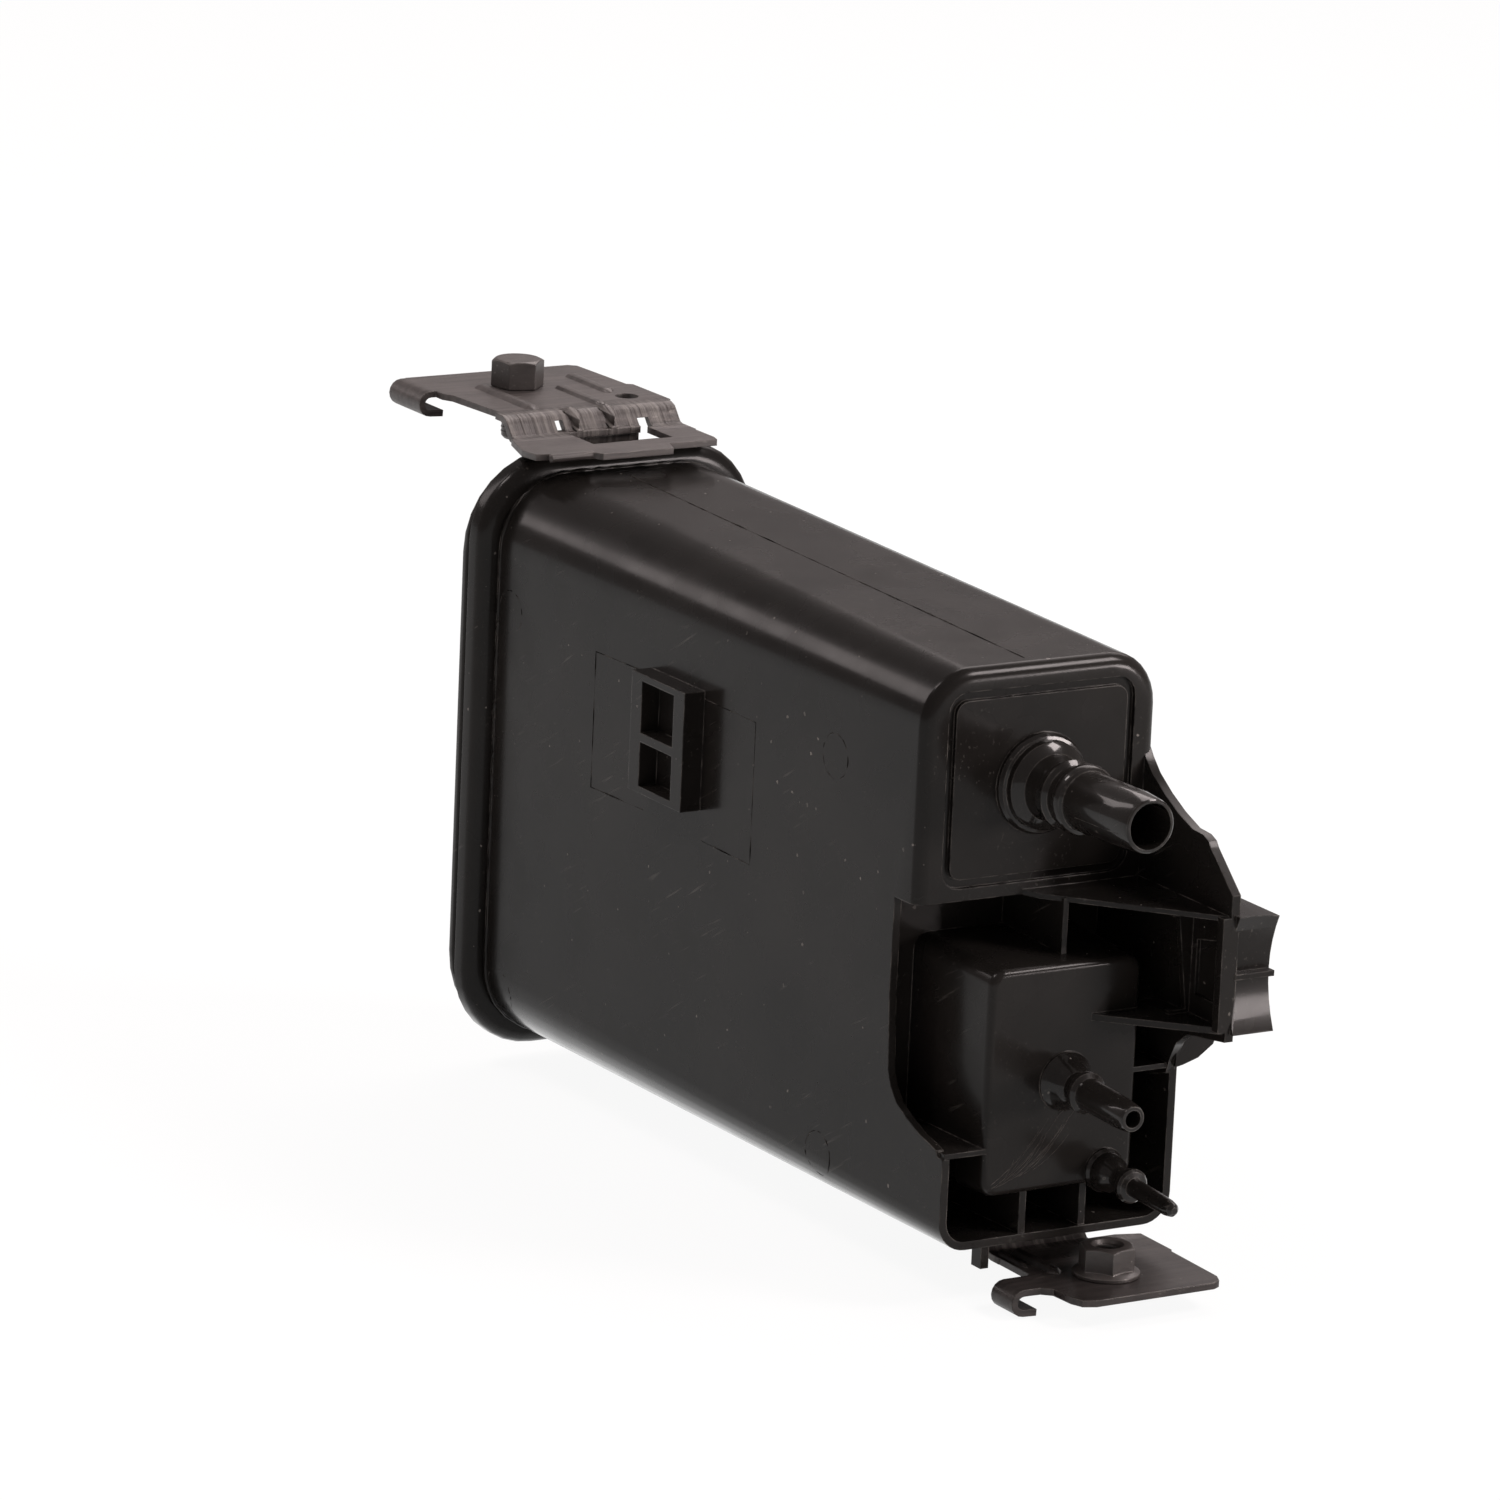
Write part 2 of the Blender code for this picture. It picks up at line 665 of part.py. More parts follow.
def hex_head(name, af, cx, cy, z0, z1, turn):
    """A hexagonal prism whose upper corners are turned down by a cone, as on a forged head."""
    body = prism(name, hexagon(af, cx, cy, turn), "Z", z0, z1)
    wide = af / math.sqrt(3.0) + 1.2
    profile = [(z0, wide), (z1 - 1.2, wide), (z1, af * 0.47)]
    return common(body, turned("cone", profile, (cx, cy), axis="Z", sides=32))


def bent_sheet(name, path, thickness, axis, a, b):
    """A sheet that follows a path, pushed along an axis. The path is the sheet's middle line."""
    left, right = [], []
    for k, (u, v) in enumerate(path):
        p = path[max(k - 1, 0)]
        q = path[min(k + 1, len(path) - 1)]
        du, dv = q[0] - p[0], q[1] - p[1]
        length = math.hypot(du, dv)
        nu, nv = -dv / length, du / length
        left.append((u + nu * thickness / 2, v + nv * thickness / 2))
        right.append((u - nu * thickness / 2, v - nv * thickness / 2))
    return prism(name, left + right[::-1], axis, a, b)


def curl(y_tip, y_out, z, radius=2.7, steps=8):
    """The path of a hook that runs out to y_out, turns down through half a circle and comes back to y_tip."""
    path = [(y_tip, z)]
    for k in range(steps + 1):
        a = math.radians(90 + 180 * k / steps)
        path.append((y_out + radius + radius * math.cos(a), z - radius + radius * math.sin(a)))
    path.append((y_tip - 1.2, z - 2 * radius - 0.2))
    return path


def ridge(name, x0, x1, y, z, width=4.6, height=1.1):
    """A long raised rib with sloping ends, pressed up from a sheet."""
    half = width / 2
    rings = []
    for x, s in ((x0, 0.25), (x0 + 2.0, 1.0), (x1 - 2.0, 1.0), (x1, 0.25)):
        rings.append(
            [
                (x, y - half * s, z - 0.6),
                (x, y - half * 0.92 * s, z + 0.02),
                (x, y - half * 0.5 * s, z + height * 0.8 * s),
                (x, y, z + height * s),
                (x, y + half * 0.5 * s, z + height * 0.8 * s),
                (x, y + half * 0.92 * s, z + 0.02),
                (x, y + half * s, z - 0.6),
            ]
        )
    return skin(name, rings)


def drilled(name, radius, cx, cy, z):
    """A round cutter through a plate whose top is at z."""
    return turned(name, [(z - 6.0, radius), (z + 4.0, radius)], (cx, cy), axis="Z", sides=24)


def upper_bracket():
    z = UPPER_PLATE_Z
    plate = prism(
        "upper_bracket",
        [
            (-62.4, -27.6),
            (-61.6, 24.0),
            (-59.8, 26.2),
            (-34.4, 27.4),
            (-33.2, 29.0),
            (-13.0, 29.2),
            (-12.0, 28.0),
            (-11.0, -24.6),
            (-17.0, -24.2),
            (-38.0, -26.0),
            (-41.0, -27.6),
        ],
        "Z",
        z - SHEET,
        z,
    )
    mid = SHEET / 2
    foot_mid = UPPER_FOOT_Z - mid
    riser = bent_sheet(
        "riser",
        [
            (-14.6, z - mid),
            (-11.0, z - mid),
            (-9.3, z - mid - 0.6),
            (-8.2, z - mid - 1.9),
            (-6.8, foot_mid + 1.4),
            (-5.8, foot_mid + 0.4),
            (-4.2, foot_mid),
            (3.0, foot_mid),
        ],
        SHEET,
        "Y",
        -25.6,
        28.2,
    )
    foot = prism(
        "foot",
        [
            (-3.6, -26.6),
            (1.0, -28.0),
            (9.4, -30.6),
            (15.4, -29.6),
            (16.4, -25.0),
            (18.9, -13.2),
            (21.2, -11.8),
            (21.6, 10.2),
            (16.0, 12.0),
            (16.6, 27.0),
            (13.6, 27.8),
            (-3.6, 27.6),
        ],
        "Z",
        UPPER_FOOT_Z - SHEET,
        UPPER_FOOT_Z,
    )
    rolled = [(-26.6, 0.6), (-26.2, 1.2), (-13.4, 1.2), (-13.0, 0.6)]
    roll = turned("foot_roll", rolled, (17.6, UPPER_FOOT_Z - 0.9), axis="Y", sides=10)
    tab = block("tab", -7.3, -5.5, -8.4, 15.0, UPPER_FOOT_Z - SHEET - TAB_LEN, UPPER_FOOT_Z + 0.6)
    hook = bent_sheet("hook", curl(-24.0, -31.9, z - mid), SHEET, "X", -62.0, -44.6)
    darts = []
    for y in (-4.2, 6.6):
        darts.append(
            skin(
                "dart",
                [
                    [(-11.4, y - 3.2, z - 0.4), (-11.4, y + 3.2, z - 0.4), (-12.0, y, z - 1.9)],
                    [(-2.8, y - 0.9, foot_mid + 0.3), (-2.8, y + 0.9, foot_mid + 0.3), (-3.6, y, foot_mid - 0.5)],
                ],
            )
        )
    ridges = [
        ridge("rib_far", -38.0, -12.5, 7.4, z - 0.1),
        ridge("rib_edge", -50.0, -26.0, 17.6, z - 0.1),
        ridge("rib_near", -46.0, -14.0, -13.4, z - 0.1, width=5.4),
    ]
    bracket = union(plate, riser, foot, roll, hook, *darts, *ridges)
    bracket = cut(
        bracket,
        drilled("bolt_hole", BOLT_D / 2 + GAP, BOLT_X, BOLT_Y, z),
        drilled("far_hole", 3.3, -20.6, 19.6, z),
        block("slot_near", -11.0, -2.0, -10.8, -8.4, UPPER_FOOT_Z + 0.2, z - 2.0),
        block("slot_far", -11.0, -4.0, 15.0, 18.6, UPPER_FOOT_Z - 4.0, z - 3.0),
        block("foot_window", -4.6, 9.8, -8.4, 16.8, UPPER_FOOT_Z - SHEET - 1.0, UPPER_FOOT_Z + 0.9),
    )
    return union(bracket, tab)


def upper_bolt():
    z = UPPER_PLATE_Z + SEAT
    bolt = hex_head("upper_bolt", BOLT_AF, BOLT_X, BOLT_Y, z, z + HEAD_T, 12.0)
    shank = turned(
        "shank",
        [(z - 15.0, BOLT_D / 2 - 0.9), (z - 14.1, BOLT_D / 2), (z + 1.0, BOLT_D / 2)],
        (BOLT_X, BOLT_Y),
        axis="Z",
        sides=24,
    )
    return union(bolt, shank)


def lower_bracket():
    z = LOWER_PLATE_Z
    mid = SHEET / 2
    foot_mid = LOWER_FOOT_Z - mid
    plate = prism(
        "lower_bracket",
        from_port([
            (21.4, -8.8),
            (22.4, -10.0),
            (22.4, -15.4),
            (32.4, -15.4),
            (32.6, -12.4),
            (34.8, -9.9),
            (42.4, -9.4),
            (45.8, -8.0),
            (47.2, -4.6),
            (46.8, 31.6),
            (45.6, 33.8),
            (42.4, 35.2),
            (20.2, 35.9),
            (19.0, 36.7),
            (4.0, 36.9),
            (2.0, 30.0),
            (2.0, -8.6),
        ]),
        "Z",
        z - SHEET,
        z,
    )
    riser = bent_sheet(
        "lower_riser",
        from_port([
            (-14.0, foot_mid),
            (-4.0, foot_mid),
            (-2.2, foot_mid - 0.6),
            (-1.2, foot_mid - 1.9),
            (0.2, z - mid + 1.6),
            (1.4, z - mid + 0.4),
            (3.2, z - mid),
            (7.0, z - mid),
        ]),
        SHEET,
        "Y",
        -8.8,
        21.6,
    )
    foot = prism(
        "lower_foot",
        from_port([(-28.0, -14.2), (-10.0, -14.2), (-3.4, -8.8), (-3.4, 21.6), (-10.0, 21.8), (-28.0, 21.8)]),
        "Z",
        LOWER_FOOT_Z - SHEET,
        LOWER_FOOT_Z,
    )
    hook = bent_sheet("lower_hook", curl(-12.0, -19.9, z - mid), SHEET, "X", PORT_X + 22.4, PORT_X + 32.4)
    rib_x0 = PORT_X + 3.4
    ridges = [
        ridge("lower_rib_a", rib_x0, PORT_X + 24.6, -2.0, z - 0.1, width=5.0, height=1.5),
        ridge("lower_rib_b", rib_x0, PORT_X + 17.0, -6.6, z - 0.1, width=2.6, height=0.9),
    ]
    bracket = union(plate, riser, foot, hook, *ridges)
    return cut(bracket, drilled("nut_hole", BOLT_D / 2 + 0.6, NUT_X, NUT_Y, z))


def lower_nut():
    z = LOWER_PLATE_Z + SEAT
    nut = hex_head("lower_nut", BOLT_AF, NUT_X, NUT_Y, z + 0.8, z + 8.0, 40.0)
    washer = turned(
        "washer",
        [(z, 8.8), (z + 0.9, 8.8), (z + 1.7, 7.2), (z + 1.9, 6.0)],
        (NUT_X, NUT_Y),
        axis="Z",
        sides=32,
    )
    nut = union(nut, washer)
    bore = turned(
        "bore",
        [(z - 1.0, 4.6), (z + 0.2, 4.1), (z + 0.9, 3.4), (z + 7.1, 3.4), (z + 7.8, 4.1), (z + 9.0, 5.1)],
        (NUT_X, NUT_Y),
        axis="Z",
        sides=24,
    )
    return cut(nut, bore)


def apply_finishes():
    for finish, (colour, roughness, metallic, names) in FINISHES.items():
        for name in names:
            material = bpy.data.materials.new(f"{name}_{finish}")
            material.use_nodes = True
            shader = material.node_tree.nodes["Principled BSDF"]
            shader.inputs["Base Color"].default_value = (*colour, 1.0)
            shader.inputs["Roughness"].default_value = roughness
            shader.inputs["Metallic"].default_value = metallic
            mesh = bpy.data.objects[name].data
            mesh.materials.clear()
            mesh.materials.append(material)
            mesh.shade_smooth()
            mesh.set_sharp_from_angle(angle=math.radians(35.0))


def main():
    for obj in list(bpy.data.objects):
        bpy.data.objects.remove(obj)
    housing()
    end_cover()
    for word, upper, end_x in (("vent", True, UPPER_END_X), ("tank", False, LOWER_END_X)):
        grid_x1 = end_x - POST_LEN - SEAT
        grid_x0 = grid_x1 - PLATE_T
        fleece_x1 = grid_x0 - SEAT
        bed_x1 = fleece_x1 - FLEECE_T - SEAT
        plate_x1 = SPRING_END_X + SEAT + PLATE_T
        fleece_x0 = plate_x1 + SEAT
        bed_x0 = fleece_x0 + FLEECE_T + SEAT
        screen(f"{word}_grid", grid_x0, grid_x1, upper)
        bed_piece(f"{word}_port_fleece", fleece_x1 - FLEECE_T, fleece_x1, upper)
        bed_piece(f"{word}_carbon_bed", bed_x0, bed_x1, upper)
        bed_piece(f"{word}_lid_fleece", fleece_x0, fleece_x0 + FLEECE_T, upper)
        screen(f"{word}_pressure_plate", plate_x1 - PLATE_T, plate_x1, upper)
    for name, centre in SPRINGS.items():
        spring(name, centre, COVER_T + SEAT, SPRING_END_X)
    upper_bracket()
    upper_bolt()
    lower_bracket()
    lower_nut()
    apply_finishes()


if __name__ == "__main__":
    main()
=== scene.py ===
"""The charcoal canister's looks: smoothed skins over its frame, mould marks, weld flash, threads, finishes
and a plain pale studio. Lengths are in metres, in the frame's own place."""

import math
import random

import bmesh
import bpy
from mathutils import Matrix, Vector
from mathutils.bvhtree import BVHTree


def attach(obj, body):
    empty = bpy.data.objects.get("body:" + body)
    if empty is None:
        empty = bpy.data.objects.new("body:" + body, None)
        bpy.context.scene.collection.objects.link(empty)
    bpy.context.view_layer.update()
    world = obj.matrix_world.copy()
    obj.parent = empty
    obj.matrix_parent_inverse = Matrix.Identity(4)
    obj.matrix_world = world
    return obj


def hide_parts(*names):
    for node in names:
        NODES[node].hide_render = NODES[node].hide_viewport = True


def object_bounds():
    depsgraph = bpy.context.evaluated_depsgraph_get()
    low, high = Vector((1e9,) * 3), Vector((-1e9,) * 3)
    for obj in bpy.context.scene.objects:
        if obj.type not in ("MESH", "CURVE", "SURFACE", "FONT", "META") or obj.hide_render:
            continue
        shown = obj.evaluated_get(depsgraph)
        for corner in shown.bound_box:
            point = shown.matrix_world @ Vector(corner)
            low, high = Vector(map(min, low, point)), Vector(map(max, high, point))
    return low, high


bl_info = {
    "name": "Charcoal Canister Dresser",
    "version": (1, 0, 0),
    "blender": (4, 5, 0),
    "location": "View3D > Sidebar > Canister",
    "description": "Dresses a fuel vapour canister with its finishes, mould marks and studio",
    "category": "Object",
}

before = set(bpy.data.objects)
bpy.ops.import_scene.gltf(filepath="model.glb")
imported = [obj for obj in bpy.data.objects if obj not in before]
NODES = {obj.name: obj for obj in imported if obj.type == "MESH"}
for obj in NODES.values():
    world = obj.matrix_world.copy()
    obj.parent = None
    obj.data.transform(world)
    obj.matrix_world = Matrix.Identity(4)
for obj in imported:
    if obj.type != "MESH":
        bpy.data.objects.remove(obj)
CAD_LOW, CAD_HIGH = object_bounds()

MM = 0.001

# Places in the frame
PORT_X = 226.0 * MM  # the upper port face
CHAMBER_X = PORT_X + 17.8 * MM  # the front of the lower chamber
WELD_X = 12.6 * MM  # the weld between the lid and the flange
UPPER_BEND_X = -8.0 * MM  # the bend of the upper bracket
LOWER_BEND_X = 225.0 * MM  # the bend of the lower bracket
UPPER_PLATE_Z = 90.6 * MM  # the top of the upper bracket's plate
LOWER_PLATE_Z = -81.7 * MM  # the top of the lower bracket's plate
BOLT_AT = (-42.5 * MM, -3.0 * MM)
NUT_AT = (255.5 * MM, 9.5 * MM)

# The ports' axes, as Y and Z
LARGE_PORT = (2.4 * MM, 43.2 * MM)
MEDIUM_PORT = (1.6 * MM, -32.2 * MM)
SMALL_PORT = (14.8 * MM, -57.6 * MM)

# Polished zones round the ports: where each starts, and its reach across
PORT_ROOTS = (
    ((PORT_X + 0.8 * MM, *LARGE_PORT), 14.0 * MM),
    ((CHAMBER_X + 0.5 * MM, *MEDIUM_PORT), 8.3 * MM),
    ((CHAMBER_X + 0.5 * MM, *SMALL_PORT), 6.6 * MM),
)

# Tubes with a mould seam: axis, the X where that axis is true, lean in Y and Z, and the seam's two ends
PORT_TUBES = (
    (LARGE_PORT, PORT_X + 49.2 * MM, (0.03, 0.012), (PORT_X + 22.2 * MM, PORT_X + 46.0 * MM)),
    (MEDIUM_PORT, CHAMBER_X, (-0.045, -0.014), (CHAMBER_X + 12.6 * MM, CHAMBER_X + 31.0 * MM)),
)
SEAM_TURNS = (math.radians(195.0), math.radians(15.0))
SEAM_STEPS = 12

# Mould marks on the near side, as X and Z in millimetres
INSERT_OUTLINES = (
    ((91.5, 43.0), (64.5, 42.6), (64.5, 5.0), (91.5, 5.4)),
    ((121.5, 42.8), (146.0, 42.6), (146.0, 4.0), (121.5, 4.4)),
)
PIN_PLACES = ((19.0, 43.0), (185.0, 43.0), (185.0, -64.0), (19.0, -64.0))
PIN_STEPS = 40

# The parting line on the top, as X and Y in millimetres
PARTING_START = (20.0, -3.3)
PARTING_RUN = (204.0, 0.8)
PARTING_STEPS = 60

# The pressed darts: their middles in Y, and one dart's corners and faces, in millimetres
DART_MIDDLES = (-4.4, 6.8)
DART_CORNERS = (
    (-12.8, -2.9, 90.5),
    (-12.8, 2.9, 90.5),
    (-5.3, 0.0, 84.6),
    (-10.4, 0.0, 91.6),
    (-4.7, 0.0, 89.0),
    (-9.6, -2.3, 90.4),
    (-9.6, 2.3, 90.4),
)
DART_FACES = (
    (0, 5, 3), (5, 4, 3), (5, 2, 4), (1, 3, 6), (6, 3, 4), (6, 4, 2), (0, 3, 1), (0, 1, 6, 5), (5, 6, 2),
)
DART_EDGE = 0.15 * MM

BOLT_THREAD = 3.86 * MM  # radius of the thread's line
NUT_THREAD = 3.52 * MM
THREAD_WIRE = 0.34 * MM

SCRATCHES = 16
SCRATCH_STEPS = 14
WELD_STEPS = 220

JOIN_GAP = 0.002 * MM  # corners closer than this are one
FLAT_ANGLE = math.radians(0.4)  # faces within this lie in one plane
EDGE_ANGLE = math.radians(30.0)  # sharper edges are rounded
SHADE_ANGLE = math.radians(38.0)  # sharper edges are shaded as edges
CLEARANCE = 20.0 * MM  # how far outside the surface a ray starts
FAR_OUT = 200.0 * MM  # where the rays towards the weld start

# Inner finishes: words in the nodes' names, name, two colours, grain, roughness, relief and metallic
INNER_FINISHES = (
    (("carbon_bed",), "Carbon pellets", (0.01, 0.01, 0.01), (0.06, 0.058, 0.055), 420.0, 0.8, 0.6 * MM, 0.0),
    (("fleece",), "Pressed fleece", (0.62, 0.60, 0.56), (0.80, 0.78, 0.74), 1500.0, 0.92, 0.2 * MM, 0.0),
    (("grid", "plate"), "Grid plastic", (0.24, 0.235, 0.23), (0.32, 0.31, 0.30), 900.0, 0.5, 0.03 * MM, 0.0),
    (("spring",), "Spring wire", (0.42, 0.42, 0.42), (0.58, 0.57, 0.56), 700.0, 0.32, 0.02 * MM, 1.0),
)

FLOOR_RADIUS = 9.0
FLOOR_GAP = 0.4 * MM
FLOOR_GLOW = 0.92  # how much of the seen floor is plain white, and the rest is matt and holds the shadow

# Lamps: setting, size, and place from the canister's middle
LAMPS = (
    ("key", (0.42, 0.42), (-0.3, -0.9, 1.6)),
    ("edge", (0.4, 1.3), (-1.45, -0.9, 1.15)),
    ("front", (0.5, 0.5), (0.85, 0.95, 1.3)),
    ("right", (0.5, 0.35), (1.45, 1.15, 0.22)),
    ("top", (1.6, 1.2), (-0.9, 1.15, 1.5)),
)


def colour_setting(name, description, default):
    return bpy.props.FloatVectorProperty(
        name=name, description=description, default=default, size=3, min=0.0, max=1.0, subtype="COLOR"
    )


def share_setting(name, description, default):
    return bpy.props.FloatProperty(
        name=name, description=description, default=default, min=0.0, max=1.0, subtype="FACTOR"
    )


def length_setting(name, description, default):
    return bpy.props.FloatProperty(
        name=name, description=description, default=default, unit="LENGTH", subtype="DISTANCE"
    )


def power_setting(name, description, default):
    return bpy.props.FloatProperty(name=name, description=description, default=default, min=0.0, unit="POWER")


class CanisterFinish(bpy.types.PropertyGroup):
    """Colours and gloss of the canister's surfaces."""

    plastic: colour_setting("Plastic", "Moulded housing and lid", (0.0070, 0.0063, 0.0057))
    plastic_roughness: share_setting("Plastic roughness", "Roughness of clean moulded plastic", 0.25)
    # This colour also tints the painted edge highlights and the painted stripes at the bends.
    dust: colour_setting("Dust", "Dust specks and pale scuffs", (0.34, 0.32, 0.29))
    steel: colour_setting("Coated steel", "Black coating of the brackets", (0.036, 0.031, 0.0295))
    steel_roughness: share_setting("Steel roughness", "Roughness of the coated sheet", 0.44)
    fastener: colour_setting("Fastener", "Dark zinc of the bolt and nut", (0.040, 0.035, 0.033))


class CanisterDetail(bpy.types.PropertyGroup):
    """Sizes of the fine detail."""

    moulded_edge: length_setting("Moulded edge", "Rounding of the plastic's edges", 0.5 * MM)
    pressed_edge: length_setting("Pressed edge", "Rounding of the sheet steel's edges", 0.28 * MM)
    mould_line: length_setting("Mould line", "Radius of a parting or insert line", 0.2 * MM)
    weld_bead: length_setting("Weld bead", "Radius of the flash along the weld", 0.42 * MM)
    pin_mark: length_setting("Pin mark", "Radius of an ejector pin's mark", 6.0 * MM)
    scratch: length_setting("Scratch", "Radius of a scratch on the lower chamber", 0.055 * MM)
    thread_pitch: length_setting("Thread pitch", "Pitch of the M8 threads", 1.25 * MM)


class CanisterStudio(bpy.types.PropertyGroup):
    """Floor, lamps and camera."""

    floor: colour_setting("Floor", "Colour of the plain floor", (0.93, 0.93, 0.93))
    tint: colour_setting("Tint", "Colour of the lamps and the surround", (1.0, 0.90, 0.885))
    surround: bpy.props.FloatProperty(
        name="Surround", description="Strength of the even light from all round", default=0.36,
        min=0.0, max=2.0,
    )
    key: power_setting("Key lamp", "Power of the small lamp high on the near side", 11.0)
    top: power_setting("Top lamp", "Power of the lamp above and behind", 22.0)
    edge: power_setting("Edge lamp", "Power of the long lamp behind the lid", 8.0)
    front: power_setting("Front lamp", "Power of the lamp high on the port side", 21.0)
    right: power_setting("Right lamp", "Power of the low lamp on the right", 20.0)
    lens: bpy.props.FloatProperty(
        name="Lens", description="Focal length that gives the photographed view", default=219.85,
        min=20.0, max=400.0, subtype="DISTANCE_CAMERA",
    )
    camera_at: bpy.props.FloatVectorProperty(
        name="Camera place", description="Where the camera stands", default=(2.11912, -1.24762, 0.63734),
        size=3, unit="LENGTH", subtype="TRANSLATION",
    )
    camera_turn: bpy.props.FloatVectorProperty(
        name="Camera turn", description="How the camera is turned",
        default=(math.radians(75.408), math.radians(-2.418), math.radians(59.107)), size=3,
        unit="ROTATION", subtype="EULER",
    )


def finish_settings():
    return bpy.context.scene.canister_finish


def detail_settings():
    return bpy.context.scene.canister_detail


def studio_settings():
    return bpy.context.scene.canister_studio


# Node building


def put(tree, kind, inputs=None, **settings):
    """A node with its settings, its sockets set to a value or linked to another socket."""
    made = tree.nodes.new(kind)
    for key, value in settings.items():
        setattr(made, key, value)
    for key, value in (inputs or {}).items():
        if isinstance(value, bpy.types.NodeSocket):
            tree.links.new(value, made.inputs[key])
        else:
            made.inputs[key].default_value = value
    return made


def math_node(tree, operation, first, second=0.0, clamp=False):
    return put(tree, "ShaderNodeMath", {0: first, 1: second}, operation=operation, use_clamp=clamp).outputs[0]


def times(tree, first, second):
    return math_node(tree, "MULTIPLY", first, second)


def vector_math(tree, operation, first, second=(0.0, 0.0, 0.0), output="Vector"):
    return put(tree, "ShaderNodeVectorMath", {0: first, 1: second}, operation=operation).outputs[output]


def parts_of(tree, vector):
    """A vector's X, Y and Z."""
    return put(tree, "ShaderNodeSeparateXYZ", {0: vector}).outputs


def noise(tree, place, scale, detail, output="Fac", **sockets):
    inputs = {"Vector": place, "Scale": scale, "Detail": detail, **sockets}
    return put(tree, "ShaderNodeTexNoise", inputs).outputs[output]


def spread(tree, value, low, high, to_low=0.0, to_high=1.0):
    """A value mapped from one range to another and kept inside it."""
    sockets = {"Value": value, "From Min": low, "From Max": high, "To Min": to_low, "To Max": to_high}
    return put(tree, "ShaderNodeMapRange", sockets, clamp=True).outputs[0]


def mix_colour(tree, amount, first, second):
    first, second = ((*c, 1.0) if isinstance(c, tuple) else c for c in (first, second))
    return put(tree, "ShaderNodeMix", {0: amount, 6: first, 7: second}, data_type="RGBA").outputs[2]


def stain_and_glint(tree, base, mask, share):
    """A base colour with some of the dust's colour where a mask shows. It paints dust and scuffs, and also
    painted edge highlights and painted bend stripes.
    """
    return mix_colour(tree, times(tree, mask, share), base, tuple(finish_settings().dust))


def bump(tree, shader, **sockets):
    tree.links.new(put(tree, "ShaderNodeBump", sockets).outputs[0], shader.inputs["Normal"])


def scaled(colour, factor):
    return tuple(c * factor for c in colour)


def effect(name, inputs, **outputs):
    """An empty node group, and the sockets of its two ends. An input without a default is a vector."""
    tree = bpy.data.node_groups.new(name, "ShaderNodeTree")
    for label, default in inputs.items():
        kind = "NodeSocketVector" if default is None else "NodeSocketFloat"
        socket = tree.interface.new_socket(label, in_out="INPUT", socket_type=kind)
        if default is not None:
            socket.default_value = default
    for label, kind in outputs.items():
        tree.interface.new_socket(label, in_out="OUTPUT", socket_type=kind)
    return tree, tree.nodes.new("NodeGroupInput").outputs, tree.nodes.new("NodeGroupOutput").inputs


def fill(tree, name, build, **inputs):
    """The outputs of a shared effect, which is built the first time that it is asked for."""
    group = bpy.data.node_groups.get(name) or build(name)
    return put(tree, "ShaderNodeGroup", inputs, node_tree=group).outputs


def mould_grain(name):
    """Fine texture of a moulded surface with shallow flow marks: height."""
    tree, given, result = effect(name, {"Vector": None, "Grain": 1.0, "Flow": 1.0}, Height="NodeSocketFloat")
    grain = times(tree, noise(tree, given["Vector"], 2200.0, 2.0), given["Grain"])
    patch = times(tree, noise(tree, given["Vector"], 420.0, 3.0), 0.5)
    flow = times(tree, noise(tree, given["Vector"], 34.0, 1.0), given["Flow"])
    total = math_node(tree, "ADD", math_node(tree, "ADD", grain, patch), flow)
    tree.links.new(total, result["Height"])
    return tree


def dust_specks(name):
    """Small specks of dust in scattered places: mask."""
    inputs = {"Vector": None, "Scale": 240.0, "Amount": 0.2}
    tree, given, result = effect(name, inputs, Mask="NodeSocketFloat")
    warp = noise(tree, given["Vector"], 700.0, 2.0, output="Color")
    shift = vector_math(tree, "MULTIPLY", warp, (0.0011, 0.0011, 0.0011))
    place = vector_math(tree, "ADD", given["Vector"], shift)
    cells = put(tree, "ShaderNodeTexVoronoi", {"Vector": place, "Scale": given["Scale"]})
    chance = put(tree, "ShaderNodeSeparateColor", {"Color": cells.outputs["Color"]}).outputs
    shown = math_node(tree, "LESS_THAN", chance[0], given["Amount"])
    near = math_node(tree, "LESS_THAN", cells.outputs["Distance"], times(tree, chance[1], 0.13))
    strength = spread(tree, chance[2], 0.0, 1.0, 0.25, 1.0)
    tree.links.new(times(tree, times(tree, near, shown), strength), result["Mask"])
    return tree


def scuff_marks(name):
    """Thin handling scratches in loose patches, along a slanted direction: mask."""
    tree, given, result = effect(name, {"Vector": None, "Turn": None, "Amount": 0.5}, Mask="NodeSocketFloat")
    turned = put(
        tree, "ShaderNodeVectorRotate", {"Vector": given["Vector"], "Rotation": given["Turn"]},
        rotation_type="EULER_XYZ",
    )
    long = vector_math(tree, "MULTIPLY", turned.outputs[0], (26.0, 900.0, 900.0))
    line = spread(tree, noise(tree, long, 1.0, 2.0), 0.64, 0.72)
    patch = spread(tree, noise(tree, given["Vector"], 38.0, 2.0), 0.54, 0.66)
    tree.links.new(times(tree, times(tree, line, patch), given["Amount"]), result["Mask"])
    return tree


